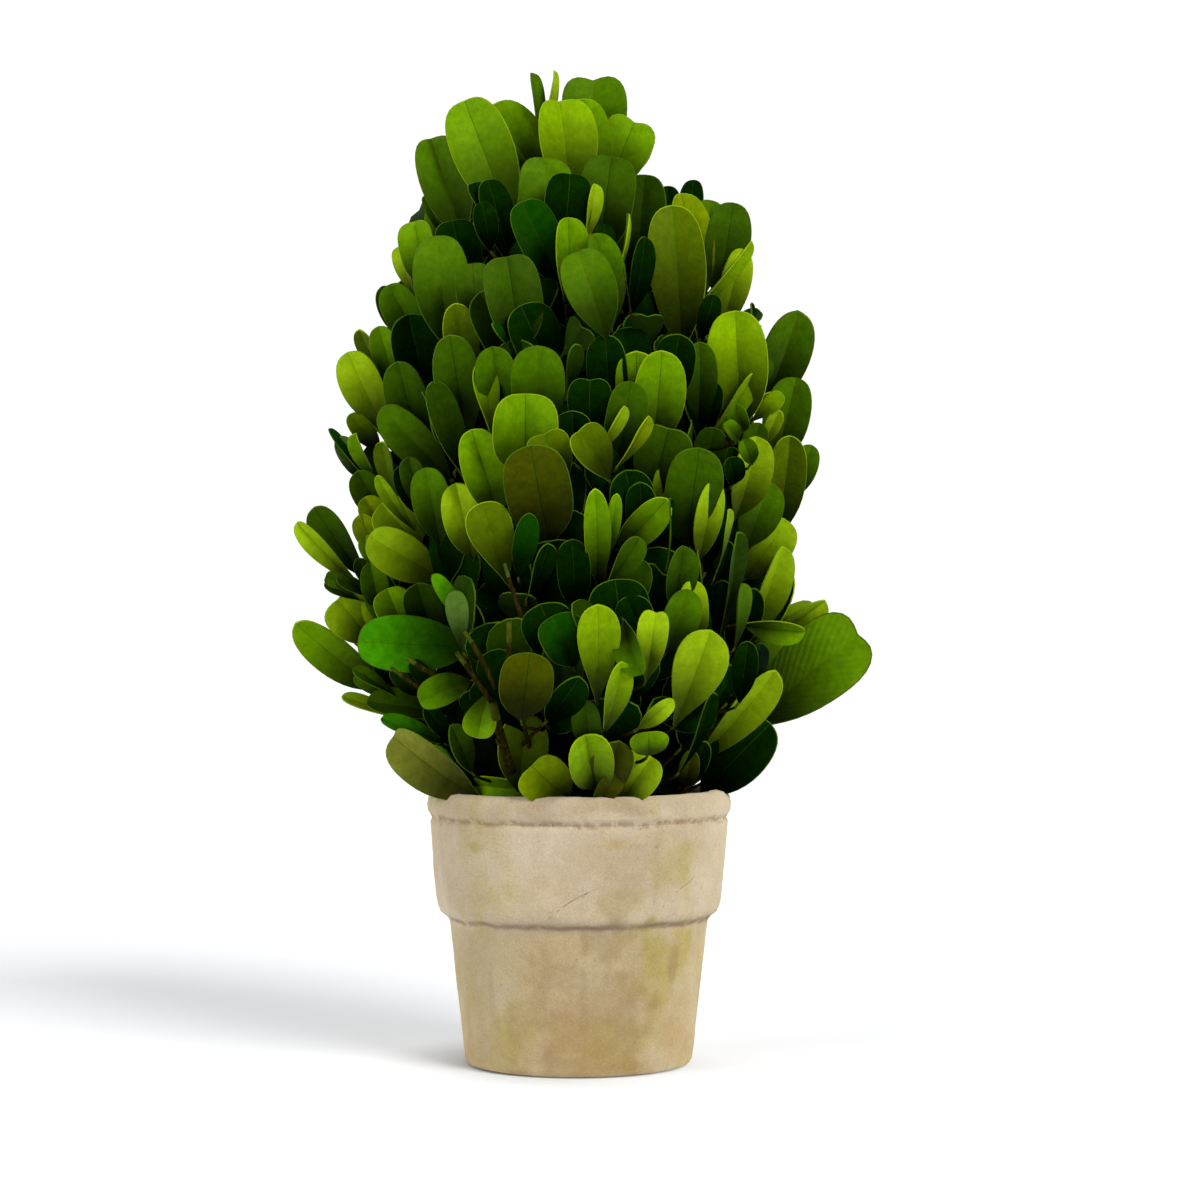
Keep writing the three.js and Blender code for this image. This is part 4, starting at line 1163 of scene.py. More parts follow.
def arc_frames(leaves, along):
    """Where points lie along each leaf's curved rib, and the way up there."""
    direction, normal, length = (of_all(leaves, key) for key in ("direction", "normal", "length"))
    bend = np.maximum(of_all(leaves, "bend"), 0.02)
    # The rib starts half the bend above the straight line to its tip, so that the tip stays where it is.
    start = direction * np.cos(bend / 2) + normal * np.sin(bend / 2)
    up = normal * np.cos(bend / 2) - direction * np.sin(bend / 2)
    length = length * (bend / 2) / np.sin(bend / 2)
    t = along[None, :, None] * bend
    place = (start * np.sin(t) - up * (1 - np.cos(t))) / bend * length
    return place, up * np.cos(t) + start * np.sin(t)


def place_leaves(leaves, master):
    """The points of many leaves of one kind, folded, cupped and bent."""
    points = master["points"]
    place, up = arc_frames(leaves, points[:, 1])
    root, width, fold = (of_all(leaves, key) for key in ("root", "width", "fold"))
    wave, twist = (of_all(leaves, key) for key in ("wave", "twist"))
    across = np.cross(of_all(leaves, "direction"), of_all(leaves, "normal"))
    x, y, z = (points[:, axis][None, :, None] for axis in range(3))
    side = x * width / 2
    # Halves rise from the rib, the margin rolls back down, and the edge waves a little.
    rise = np.abs(side) * np.tan(fold) - ROLL_BACK * width * np.abs(x) ** 3
    rise += WAVE * width * np.abs(x) * np.sin(y * 9 + wave * 6.28 + np.sign(x) * 1.3)
    turn = twist * (y - 0.5)
    out = across * np.cos(turn) + up * np.sin(turn)
    lift = up * np.cos(turn) - across * np.sin(turn)
    return root + place + out * side * np.cos(fold) + lift * (rise + z * LEAF_THICKNESS)


def joined_leaves(name, leaves, masters, tints):
    """One mesh of many leaves. Each face takes its material from its leaf's tint."""
    points, faces, finish, veins, creased = [], [], [], [], []
    first = 0
    for (kind, ribbed), master in masters.items():
        some = [leaf for leaf in leaves if leaf["kind"] == kind and leaf["ribbed"] == ribbed]
        if not some:
            continue
        count = len(master["points"])
        placed = place_leaves(some, master)
        points.append(placed.reshape(-1, 3))
        starts = first + np.arange(len(some)) * count
        faces.append((master["faces"][None] + starts[:, None, None]).reshape(-1, 4))
        upper = np.array([tints[leaf["tint"]] for leaf in some])
        finish.append(upper[:, master["finish"]].reshape(-1))
        veins.append(np.tile(master["veins"][master["faces"]].reshape(-1, 2), (len(some), 1)))
        creased.append((first, count, len(some), master["creased"]))
        first += count * len(some)
    mesh = mesh_from(name, np.concatenate(points) * MM, np.concatenate(faces))
    mesh.polygons.foreach_set("material_index", np.concatenate(finish).astype(np.int32))
    layer = mesh.uv_layers.new(name="veins")
    layer.data.foreach_set("uv", np.concatenate(veins).astype(np.float32).ravel())
    edges = np.zeros(len(mesh.edges) * 2, np.int32)
    mesh.edges.foreach_get("vertices", edges)
    edges = edges.reshape(-1, 2)
    marks = np.zeros(len(edges), bool)
    for start, count, many, table in creased:
        mine = (edges[:, 0] >= start) & (edges[:, 0] < start + count * many)
        local = (edges[mine] - start) % count
        marks[mine] = table[local[:, 0], local[:, 1]]
    sharp = mesh.attributes.get("sharp_edge") or mesh.attributes.new("sharp_edge", "BOOLEAN", "EDGE")
    sharp.data.foreach_set("value", marks)
    return object_from(name, mesh)


def mesh_from(name, points, faces):
    """A smooth mesh from arrays of points and of faces that all have as many sides."""
    mesh = bpy.data.meshes.new(name)
    sides = faces.shape[1]
    mesh.vertices.add(len(points))
    mesh.vertices.foreach_set("co", points.astype(np.float32).ravel())
    mesh.loops.add(faces.size)
    mesh.loops.foreach_set("vertex_index", faces.astype(np.int32).ravel())
    mesh.polygons.add(len(faces))
    mesh.polygons.foreach_set("loop_start", (np.arange(len(faces)) * sides).astype(np.int32))
    mesh.update(calc_edges=True)
    mesh.validate()
    mesh.polygons.foreach_set("use_smooth", np.ones(len(mesh.polygons), bool))
    return mesh


def object_from(name, mesh):
    """An object in the scene that shows a mesh."""
    obj = bpy.data.objects.new(name, mesh)
    bpy.context.scene.collection.objects.link(obj)
    return obj


def joined_twigs(name, twigs):
    """One mesh of tapering twigs, each along a curve from its foot past a middle point to its tip."""
    foot, middle, tip = (np.array([twig[i] for twig in twigs]) for i in (0, 1, 2))
    thick = np.array([twig[3] for twig in twigs])[:, None]
    thin = np.array([twig[4] for twig in twigs])[:, None]
    t = np.linspace(0, 1, TUBE_STEPS)[None, :, None]
    line = foot[:, None] * (1 - t) ** 2 + middle[:, None] * 2 * t * (1 - t) + tip[:, None] * t**2
    tangent = np.gradient(line, axis=1)
    tangent /= np.linalg.norm(tangent, axis=2, keepdims=True) + 1e-9
    helper = np.where(np.abs(tangent[..., 2:3]) < 0.9, UP, np.array([1.0, 0, 0]))
    u = np.cross(tangent, helper)
    u /= np.linalg.norm(u, axis=2, keepdims=True) + 1e-9
    v = np.cross(tangent, u)
    radius = (thick + (thin - thick) * t[..., 0])[..., None, None]
    angles = np.arange(TUBE_SIDES) * 2 * math.pi / TUBE_SIDES
    knots = 1 + 0.12 * np.sin(angles[None, None, :, None] * 2 + np.arange(len(twigs))[:, None, None, None])
    ring = u[:, :, None] * np.cos(angles)[:, None] + v[:, :, None] * np.sin(angles)[:, None]
    points = (line[:, :, None] + ring * radius * knots).reshape(len(twigs), -1, 3)
    faces = []
    for step in range(TUBE_STEPS - 1):
        for i in range(TUBE_SIDES):
            j = (i + 1) % TUBE_SIDES
            a, b = step * TUBE_SIDES, (step + 1) * TUBE_SIDES
            faces.append((a + i, b + i, b + j, a + j))
    last = (TUBE_STEPS - 1) * TUBE_SIDES
    faces += [(last + 5, last + 4, last + 3, last + 2), (last + 5, last + 2, last + 1, last)]
    faces += [(0, 1, 2, 3), (0, 3, 4, 5)]
    faces = np.array(faces)
    count = TUBE_SIDES * TUBE_STEPS
    starts = np.arange(len(twigs)) * count
    joined = (faces[None] + starts[:, None, None]).reshape(-1, 4)
    mesh = mesh_from(name, points.reshape(-1, 3) * MM, joined)
    # The outer stretch of a twig is still green.
    steps = np.repeat(np.arange(TUBE_STEPS - 1), TUBE_SIDES)
    green = np.concatenate([steps >= TUBE_STEPS - 2, [True, True, False, False]]).astype(np.int32)
    mesh.polygons.foreach_set("material_index", np.tile(green, len(twigs)))
    return object_from(name, mesh)


# ---------------------------------------------------------------- materials

# The upper side of a leaf, by the name of its tint: a darker and a lighter hex of the same green.
# The darkest tints (dark, deep, moss and shade) are partly painted shade, and spring is partly painted light:
# a brighter green for leaves that lie in shade.
TINTS = {
    "lime": ("#82a40c", "#9cbe10"),
    "light": ("#6c9200", "#86ac02"),
    "fresh": ("#578000", "#6e9a00"),
    "mid": ("#3b6000", "#4e7600"),
    "moss": ("#1c3400", "#284200"),
    "olive": ("#445800", "#566c00"),
    "yellow": ("#647a00", "#7c9200"),
    "deep": ("#073300", "#104400"),
    "dark": ("#061c00", "#0c2a00"),
    "vivid": ("#307800", "#469600"),
    "spring": ("#4c9400", "#62b000"),
    "shade": ("#2a4800", "#3a5a00"),
    "brown": ("#343a00", "#464c00"),
    "khaki": ("#6e7420", "#868c34"),
    "slate": ("#1c3420", "#26422a"),
    "pale": ("#445f20", "#56722e"),
    "veined": ("#588404", "#6e9a08"),
}
# The rib of each tint looks like the upper side of another. Those not named here have a rib of moss.
RIB_TINTS = {
    "lime": "light",
    "light": "fresh",
    "fresh": "mid",
    "mid": "olive",
    "olive": "mid",
    "yellow": "olive",
    "vivid": "mid",
    "spring": "fresh",
    "khaki": "olive",
    "pale": "mid",
    "veined": "veined",
}
# Tints with a bright margin. The margin's paler colour is partly a painted highlight along the edge.
BRIGHT_MARGIN = {"lime", "light", "fresh", "olive", "yellow", "khaki"}
SHINE = {"dark": 0.0, "deep": 0.04, "moss": 0.04, "slate": 0.05}  # leaves deep in the crown are duller
PLAIN_SHINE = 0.14
# How many side ribs a blade has and how deep they stand. They are coarser than life, so that they show.
PLAIN_RIBS = (34, 0.12)
VEINED_RIBS = (14, 0.35)
WAX_TINT = "#b4d850"
PALE_UNDER, DARK_UNDER, BRIGHT_EDGE, DULL_EDGE = range(4)  # the matt leaf materials, in their order


def waxy_leaf(name, low, high, shine, rib_count, rib_depth):
    """Preserved boxwood leaf, grown with a wax coat: leathery and satin, with faint ribs to the margin."""
    material, tree, shader = new_material(name)
    place = add(tree, "TexCoord", output="Object")
    # Mottling some 2 mm wide, with finer specks in it, as preserving leaves it.
    cells = {"Vector": place, "Scale": per_metre(2.2), "Detail": 7.0, "Roughness": 0.75}
    tone = add(tree, "ValToRGB", {"Fac": add(tree, "TexNoise", cells)}, stops=[(0.36, low), (0.64, high)])
    veins = add(tree, "UVMap", uv_map="veins")
    along = add(tree, "SeparateXYZ", {"Vector": veins}, "Y")
    # Painted shade: the blade is darker towards its foot, where the leaves around it shade it.
    painted_foot_shade = [(0.0, "#484848"), (0.35, "#858585"), (0.8, "#ffffff")]
    painted_foot_shade = add(tree, "ValToRGB", {"Fac": along}, stops=painted_foot_shade)
    shaded_tone = {"Factor": 1.0, "A": tone, "B": painted_foot_shade}
    tone = add(tree, "Mix", shaded_tone, "Result", data_type="RGBA", blend_type="MULTIPLY")
    # The side ribs slant forward from the midrib, which lies at 0.5 across.
    aside = add(tree, "SeparateXYZ", {"Vector": veins}, "X")
    aside = add(tree, "Math", {0: aside, 1: 0.5}, operation="SUBTRACT")
    aside = add(tree, "Math", {0: aside}, operation="ABSOLUTE")
    slant = add(tree, "Math", {0: aside, 1: 0.8}, operation="MULTIPLY")
    run = add(tree, "Math", {0: along, 1: slant}, operation="SUBTRACT")
    phase = add(tree, "Math", {0: run, 1: 2 * math.pi * rib_count}, operation="MULTIPLY")
    ribs = add(tree, "Math", {0: phase}, operation="SINE")
    grain = add(tree, "TexNoise", {"Vector": place, "Scale": per_metre(0.8), "Detail": 3.0})
    ribbed = add(tree, "Bump", {"Height": ribs, "Strength": rib_depth, "Distance": 0.12 * MM})
    skin = {"Height": grain, "Strength": 0.55, "Distance": 0.15 * MM, "Normal": ribbed}
    dress(tree, shader, {"Base Color": tone, "Roughness": 0.5, "Specular IOR Level": shine})
    dress(tree, shader, {"Specular Tint": colour(WAX_TINT), "Normal": add(tree, "Bump", skin)})
    return material


def matt_leaf(name, low, high):
    """Boxwood leaf where it has no wax coat, on its under side and along its margin: paler and matt. On the
    margin the paler colour is partly a painted highlight, where the edge catches light.
    """
    material, tree, shader = new_material(name)
    place = add(tree, "TexCoord", output="Object")
    patch = add(tree, "TexNoise", {"Vector": place, "Scale": per_metre(4.0), "Detail": 3.0})
    tone = add(tree, "ValToRGB", {"Fac": patch}, stops=[(0.3, low), (0.7, high)])
    dress(tree, shader, {"Base Color": tone, "Roughness": 0.6, "Specular IOR Level": 0.1})
    dress(tree, shader, {"Specular Tint": colour(WAX_TINT)})
    return material


def leaf_materials():
    """Every leaf material in order, and the numbers of each tint's upper side, rib, margin and under side."""
    materials = [
        matt_leaf("boxwood_leaf_underside_pale", "#465f12", "#58721a"),
        matt_leaf("boxwood_leaf_underside_dark", "#1e3406", "#2a420a"),
        matt_leaf("boxwood_leaf_margin_bright_highlight", "#7c9810", "#90ac18"),
        matt_leaf("boxwood_leaf_margin_dull_highlight", "#3a560a", "#4c6c10"),
    ]
    tints = {}
    for tint, (low, high) in TINTS.items():
        bright = tint in BRIGHT_MARGIN
        ribs = VEINED_RIBS if tint == "veined" else PLAIN_RIBS
        upper = waxy_leaf("waxed_boxwood_leaf_" + tint, low, high, SHINE.get(tint, PLAIN_SHINE), *ribs)
        materials.append(upper)
        # Tints without a bright margin take the dull margin and the dark under side, darker copies that are
        # partly painted shade.
        margin = BRIGHT_EDGE if bright else DULL_EDGE
        under = PALE_UNDER if bright or tint == "pale" else DARK_UNDER
        rib = DULL_EDGE + 1 + list(TINTS).index(RIB_TINTS.get(tint, "moss"))
        tints[tint] = np.array([len(materials) - 1, rib, margin, under])
    return materials, tints


def rough_material(name, size, detail, stops, roughness, specular, bump=None, upright=1.0):
    """A matt natural material: one noise, its size in millimetres, gives both its tones and its relief."""
    material, tree, shader = new_material(name)
    place = add(tree, "TexCoord", output="Object")
    place = add(tree, "Mapping", {"Vector": place, "Scale": (1.0, 1.0, upright)})
    noise = add(tree, "TexNoise", {"Vector": place, "Scale": per_metre(size), "Detail": detail})
    tone = add(tree, "ValToRGB", {"Fac": noise}, stops=stops)
    dress(tree, shader, {"Base Color": tone, "Roughness": roughness, "Specular IOR Level": specular})
    if bump:
        strength, depth = bump
        relief_of = {"Height": noise, "Strength": strength, "Distance": depth * MM}
        dress(tree, shader, {"Normal": add(tree, "Bump", relief_of)})
    return material


def twig_bark():
    """Boxwood bark, split by growth: grey brown, matt and finely furrowed along the twig."""
    stops = [(0.3, "#151203"), (0.55, "#292408"), (0.8, "#443a12")]
    return rough_material("furrowed_boxwood_bark", 0.8, 4.0, stops, 0.9, 0.0, bump=(0.8, 0.4), upright=0.25)


def green_twig():
    """Young boxwood bark, still smooth: olive green, with a trace of sheen."""
    return rough_material("young_boxwood_bark", 1.5, 3.0, [(0.3, "#283206"), (0.7, "#47500e")], 0.7, 0.03)


def dried_moss():
    """Dried moss, packed over the form that the sprigs are stuck into: rough and without any shine. Its
    near-black colour is partly painted shade, the deep shade in the gaps of the crown.
    """
    stops = [(0.3, "#020401"), (0.55, "#060a02"), (0.8, "#0e1204")]
    return rough_material("packed_dried_moss_painted_shade", 3.0, 6.0, stops, 1.0, 0.0, bump=(1.0, 1.5))


def plug_foam():
    """Plaster poured round foam: grey and crumbly, with stains of bark."""
    stops = [(0.35, "#3a3328"), (0.55, "#7d7668"), (0.75, "#b9b4a8")]
    return rough_material("poured_plaster_and_foam", 2.5, 5.0, stops, 0.95, 0.15, bump=(0.9, 0.8))


# ---------------------------------------------------------------- the pot's clay

# Patterns of the clay: size of their features in millimetres, detail, upright scale (less than 1 draws them
# out upright), shift, distortion, and the span of the noise that is spread from 0 to 1, where there is one.
CLAY_PATTERNS = {
    "wash": (15.0, 5.0, 1.0, (0, 0, 0), 0.4, None),
    "ochre": (13.0, 5.0, 1.0, (0.3, 0, 0), 0.0, (0.4, 0.62)),
    "fray": (8.0, 9.0, 1.0, (0.7, 0.1, 0), 0.0, None),
    "bloom": (14.0, 5.0, 0.6, (0.11, 0.2, 0), 0.8, (0.54, 0.7)),
    "rain": (5.0, 3.0, 0.1, (0.5, 0, 0.1), 0.2, (0.57, 0.75)),
    "waver": (7.0, 5.0, 1.0, (0, 0, 0), 0.0, None),
    "crumble": (2.0, 6.0, 1.0, (0, 0, 0), 0.0, (0.36, 0.58)),
    "crumbs": (0.8, 3.0, 1.0, (0, 0, 0), 0.0, (0.56, 0.7)),
    "worn": (4.0, 5.0, 1.0, (0, 0, 0), 0.0, (0.25, 0.5)),
    "specks": (0.9, 2.0, 1.0, (0, 0, 0), 0.0, (0.66, 0.74)),
    "speckled": (9.0, 2.0, 1.0, (0, 0.4, 0.2), 0.0, (0.42, 0.6)),
    "skips": (1.2, 3.0, 1.0, (0, 0, 0), 0.0, (0.35, 0.6)),
    "cloud": (3.2, 9.0, 1.0, (0.2, 0.6, 0), 0.0, None),
    "grain": (0.45, 3.0, 1.0, (0, 0, 0), 0.0, None),
    "lumps": (3.0, 5.0, 1.0, (0, 0, 0), 0.0, None),
}
SOFT = {"interpolation_type": "SMOOTHSTEP"}  # for masks whose edges fade
# Where the pot's single stains lie on its front: the place, the half sizes and the strength.
ALGAE_STAINS = [
    ((22, -24, 28), (14, 12, 14), 0.6),
    ((23, -27, 52), (9, 12, 8), 0.38),
    ((-25, -27, 56), (2.6, 6, 2.2), 0.5),
    ((8, -36, 57), (5, 6, 3), 0.35),
    ((10, -35, 42.5), (8, 8, 3.2), 0.22),
    ((-19, -30, 44), (5, 6, 4), 0.25),
    ((-14, -27, 12), (12, 9, 8), 0.3),
    ((9, -28, 8), (15, 9, 8), 0.5),
]
# Brown runs and patches. The two broad patches on the front of the body and of the collar are partly painted
# shade, which makes the front a little darker than the sides.
BROWN_RUNS_AND_PAINTED_FRONT_SHADE = [
    ((23.5, -24, 27), (2.0, 8, 11), 0.4),
    ((1.5, -31, 20), (1.8, 5, 20), 0.22),
    ((3, -30, 14), (20, 16, 30), 0.4),
    ((6, -36, 52), (20, 12, 16), 0.2),
    ((-4, -37, 66), (26, 10, 4), 0.35),
]
# Dirt in the seams: height, half width, the pattern that breaks it up, its share and its colour.
SEAM_DIRT = [
    (62.0, 1.3, "crumble", 0.62, "#8c7056"),
    (61.6, 1.3, "crumbs", 0.6, "#7a5f42"),
    (36.8, 1.15, "worn", 0.75, "#8d6f60"),
]
# Place, half length, half width, lean in degrees and how far they bow.
SCRATCHES = [((-1.5, -36, 43.5), 9.5, 0.35, 32.0, 0.014), ((26, -25, 46.5), 3.5, 0.32, 36.0, 0.0)]


def stain(tree, place, fray, at, size, ragged):
    """1 at a place on the wall and 0 beyond a size, both in millimetres, with a ragged edge."""
    centre = tuple(c * MM for c in at)
    shrink = tuple(1 / (c * MM) for c in size)
    off = add(tree, "VectorMath", {0: place, 1: centre}, operation="SUBTRACT")
    near = add(tree, "VectorMath", {0: off, 1: shrink}, operation="MULTIPLY")
    far = add(tree, "VectorMath", {0: near}, "Value", operation="LENGTH")
    frayed = add(tree, "Math", {0: fray, 1: ragged, 2: far}, operation="MULTIPLY_ADD")
    edge = {"Value": frayed, "From Min": 1.0 + ragged / 2, "From Max": 0.35 + ragged / 2}
    return add(tree, "MapRange", edge, **SOFT)


def seam(tree, height, wander, centre, half_width):
    """1 along a seam round the pot and 0 away from it. The line wanders."""
    line = add(tree, "Math", {0: height, 1: wander}, operation="ADD")
    off = add(tree, "Math", {0: line, 1: centre * MM}, operation="SUBTRACT")
    away = add(tree, "Math", {0: off}, operation="ABSOLUTE")
    return add(tree, "MapRange", {"Value": away, "From Min": half_width * MM, "From Max": 0.0}, **SOFT)


def scratch(tree, place, wander, at, half_length, half_width, lean, bow):
    """1 along a bowed hair line and 0 away from it."""
    off = add(tree, "VectorMath", {0: place, 1: tuple(c * MM for c in at)}, operation="SUBTRACT")
    turned = add(tree, "Mapping", {"Vector": off, "Rotation": (0, math.radians(lean), 0)})
    along = add(tree, "SeparateXYZ", {"Vector": turned}, "X")
    above = add(tree, "SeparateXYZ", {"Vector": turned}, "Z")
    square = add(tree, "Math", {0: along, 1: 2.0}, operation="POWER")
    line = add(tree, "Math", {0: square, 1: bow / MM, 2: above}, operation="MULTIPLY_ADD")
    line = add(tree, "Math", {0: wander, 1: 0.12, 2: line}, operation="MULTIPLY_ADD")
    off_line = add(tree, "Math", {0: line}, operation="ABSOLUTE")
    off_middle = add(tree, "Math", {0: along}, operation="ABSOLUTE")
    thin = {"Value": off_line, "From Min": half_width * MM, "From Max": 0.0}
    thin = add(tree, "MapRange", thin, **SOFT)
    short = {"Value": off_middle, "From Min": half_length * MM, "From Max": 0.6 * half_length * MM}
    short = add(tree, "MapRange", short, **SOFT)
    return add(tree, "Math", {0: thin, 1: short}, operation="MULTIPLY")


def aged_clay():
    """Fired clay, limewashed by brush and weathered: chalky and blotched, with algae and dirty seams."""
    material, tree, shader = new_material("limewashed_fired_clay")
    place = add(tree, "TexCoord", output="Object")
    height = add(tree, "SeparateXYZ", {"Vector": place}, "Z")
    depth = add(tree, "SeparateXYZ", {"Vector": place}, "Y")
    front = add(tree, "MapRange", {"Value": depth, "From Min": 0.0, "From Max": -5 * MM}, **SOFT)
    pattern = {}
    for name, (size, detail, upright, shift, distortion, span) in CLAY_PATTERNS.items():
        moved = add(tree, "Mapping", {"Vector": place, "Scale": (1, 1, upright), "Location": shift})
        settings = {"Vector": moved, "Scale": per_metre(size), "Detail": detail, "Distortion": distortion}
        pattern[name] = add(tree, "TexNoise", settings)
        if span:
            spread = {"Value": pattern[name], "From Min": span[0], "From Max": span[1]}
            pattern[name] = add(tree, "MapRange", spread, **SOFT)
    wander = add(tree, "Math", {0: pattern["waver"], 1: 0.5}, operation="SUBTRACT")
    wander = add(tree, "Math", {0: wander, 1: 2.6 * MM}, operation="MULTIPLY")
    pits = add(tree, "Math", {0: pattern["specks"], 1: pattern["speckled"]}, operation="MULTIPLY")
    scratches = 0.0
    for mark in SCRATCHES:
        line = scratch(tree, place, wander, *mark)
        for mask in (front, pattern["skips"]):
            line = add(tree, "Math", {0: line, 1: mask}, operation="MULTIPLY")
        scratches = add(tree, "Math", {0: scratches, 1: line}, operation="MAXIMUM")
    # The wash: pinkish beige on the collar and ochre on the body, nearly even, in faint blotches.
    beige = [(0.3, "#beb096"), (0.5, "#c5b8a0"), (0.7, "#ccc1ad")]
    ochre = [(0.3, "#b1a07c"), (0.5, "#b9aa89"), (0.7, "#c1b597")]
    collar = add(tree, "ValToRGB", {"Fac": pattern["wash"]}, stops=beige)
    body = add(tree, "ValToRGB", {"Fac": pattern["wash"]}, stops=ochre)
    below_collar = {"Value": height, "From Min": 39 * MM, "From Max": 33 * MM}
    below_collar = add(tree, "MapRange", below_collar, **SOFT)
    tone = add(tree, "Mix", {"Factor": below_collar, "A": collar, "B": body}, "Result", data_type="RGBA")
    # What lies over the wash, in this order: the masks that it is kept to, its share and its colour.
    towards_foot = {"Value": height, "From Min": 34 * MM, "From Max": 2 * MM}
    layers = [((add(tree, "MapRange", towards_foot, **SOFT), pattern["ochre"]), 0.6, "#b39a66")]
    layers += [((pattern["bloom"],), 0.4, "#b4a867")]  # algae, as a pale yellow-green bloom
    for at, size, share in ALGAE_STAINS:
        layers.append(((stain(tree, place, pattern["fray"], at, size, 2.4),), share, "#aa9c3e"))
    layers += [((pattern["rain"],), 0.25, "#a18a68")]  # upright streaks, some 3 mm wide
    # Brown runs, and painted shade on the front of the body and collar.
    for at, size, share in BROWN_RUNS_AND_PAINTED_FRONT_SHADE:
        layers.append(((stain(tree, place, pattern["fray"], at, size, 2.2),), share, "#8d7450"))
    for centre, half_width, broken, share, hex_code in SEAM_DIRT:
        layers.append(((seam(tree, height, wander, centre, half_width), pattern[broken]), share, hex_code))
    layers += [((pits,), 0.5, "#846c4e"), ((scratches,), 0.55, "#7d6850")]
    for masks, share, hex_code in layers:
        for mask in masks:
            share = add(tree, "Math", {0: mask, 1: share}, operation="MULTIPLY")
        mixed = {"Factor": share, "A": tone, "B": colour(hex_code)}
        tone = add(tree, "Mix", mixed, "Result", data_type="RGBA")
    # Fine clouding of the clay itself, a few millimetres across, and its grain.
    clouds = [(0.34, "#a08a6a"), (0.5, "#bfae90"), (0.66, "#dccfb6")]
    clouds = add(tree, "ValToRGB", {"Fac": pattern["cloud"]}, stops=clouds)
    tone = add(tree, "Mix", {"Factor": 0.09, "A": tone, "B": clouds}, "Result", data_type="RGBA")
    sand = add(tree, "ValToRGB", {"Fac": pattern["grain"]}, stops=[(0.3, "#8f7d60"), (0.7, "#efe6d2")])
    sanded = {"Factor": 0.2, "A": tone, "B": sand}
    tone = add(tree, "Mix", sanded, "Result", data_type="RGBA", blend_type="OVERLAY")
    rough = add(tree, "MapRange", {"Value": pattern["wash"], "To Min": 0.82, "To Max": 0.96})
    marks = add(tree, "Math", {0: pits, 1: scratches}, operation="MAXIMUM")
    skin = add(tree, "Bump", {"Height": pattern["grain"], "Strength": 0.45, "Distance": 0.15 * MM})
    skin = {"Height": marks, "Strength": 0.7, "Distance": 0.3 * MM, "Normal": skin}
    skin = add(tree, "Bump", skin, invert=True)
    skin = {"Height": pattern["lumps"], "Strength": 0.4, "Distance": 0.5 * MM, "Normal": skin}
    dress(tree, shader, {"Base Color": tone, "Roughness": rough, "Normal": add(tree, "Bump", skin)})
    dress(tree, shader, {"Specular IOR Level": 0.25, "Diffuse Roughness": 1.0})
    return material


# ---------------------------------------------------------------- pot, filling, stem and moss form

STEM = {
    "foot": 63.3,
    "top": 184.0,
    "foot_radius": 4.6,
    "top_radius": 2.0,
    "flare_radius": 7.5,
    "flare_height": 3.5,
}
MOSS_SHARE = 0.98  # the moss form's girth beside the core's


# Where the pot's edges are crumbled: height, how much, and over how many millimetres that fades.
WORN_EDGES = [(62.0, 1.0, 2.2), (38.0, 1.0, 2.5), (67.6, 0.4, 5.0)]


def make_pot():
    """The clay pot: turned, then worn by small dents, a wavering wall and crumbled edges."""
    pot = revolve("aged_pot", close_rings(POT_PROFILE, RING_STEP), POT_SEGMENTS)
    only(pot)
    group = pot.vertex_groups.new(name="wall")
    edge = pot.vertex_groups.new(name="edges")
    for v in pot.data.vertices:
        z = v.co.z / MM
        group.add([v.index], min(1.0, max(0.0, (z - 1.5) / 4)), "REPLACE")
        worn = [most - abs(z - height) / fade for height, most, fade in WORN_EDGES]
        edge.add([v.index], max(0.0, *worn), "REPLACE")
    relief(pot, "wall_waver", 26.0, 1, 0.9, "wall")
    relief(pot, "wall_dents", 7.0, 2, 0.28, "wall")
    relief(pot, "edge_crumble", 2.2, 3, 0.7, "edges")
    return finish_piece(pot, ["clay_pot"], [aged_clay()])


def make_plug():
    """The plug of plaster and foam that holds the stem."""
    profile = close_rings([(21.0, FILLING_BOTTOM), (22.2, FILLING_BOTTOM), (30.8, FILLING_TOP - 0.6)], 6.0)
    profile += [(r, FILLING_TOP - 0.2) for r in (30.0, 27, 24, 21, 18, 15, 12, 9, 6, 3)]
    plug = revolve("pot_plug", profile, 72)
    top = plug.vertex_groups.new(name="top")
    for v in plug.data.vertices:
        on_top = v.co.z > (FILLING_TOP - 1) * MM and v.co.xy.length < 29 * MM
        top.add([v.index], float(on_top), "REPLACE")
    relief(plug, "plug_crumbs", 5.0, 3, 1.6, "top")
    return finish_piece(plug, ["pot_filling"], [plug_foam()])


def leaned(obj):
    """Leans a turned piece as the crown leans, ring by ring."""
    only(obj)
    bpy.ops.object.mode_set(mode="EDIT")
    heights = sorted({round(v.co.z / MM, 2) for v in obj.data.vertices})
    for height in heights:
        shift = float(lean_at(height)) * MM
        if shift:
            pick(obj, lambda co: abs(co.z / MM - height) < 0.02)
            bpy.ops.transform.translate(value=(shift, 0, 0))
    bpy.ops.object.mode_set(mode="OBJECT")


def make_stem(bark):
    """The stem, with a root flare, and the furrows of its bark."""
    s = STEM
    heights = [s["foot"] + (s["top"] - s["foot"]) * (i / 40) ** 1.3 for i in range(41)]
    profile = []
    for height in heights:
        share = (height - s["foot"]) / (s["top"] - s["foot"])
        flare = (s["flare_radius"] - s["foot_radius"]) * math.exp(-(height - s["foot"]) / s["flare_height"])
        profile.append((s["foot_radius"] + (s["top_radius"] - s["foot_radius"]) * share + flare, height))
    profile.append((0.8, 185.4))
    stem = revolve("bark_stem", profile, 28)
    leaned(stem)
    relief(stem, "bark_furrows", 3.0, 3, 0.7)
    relief(stem, "bark_knots", 14.0, 1, 1.0)
    return finish_piece(stem, ["stem"], [bark])


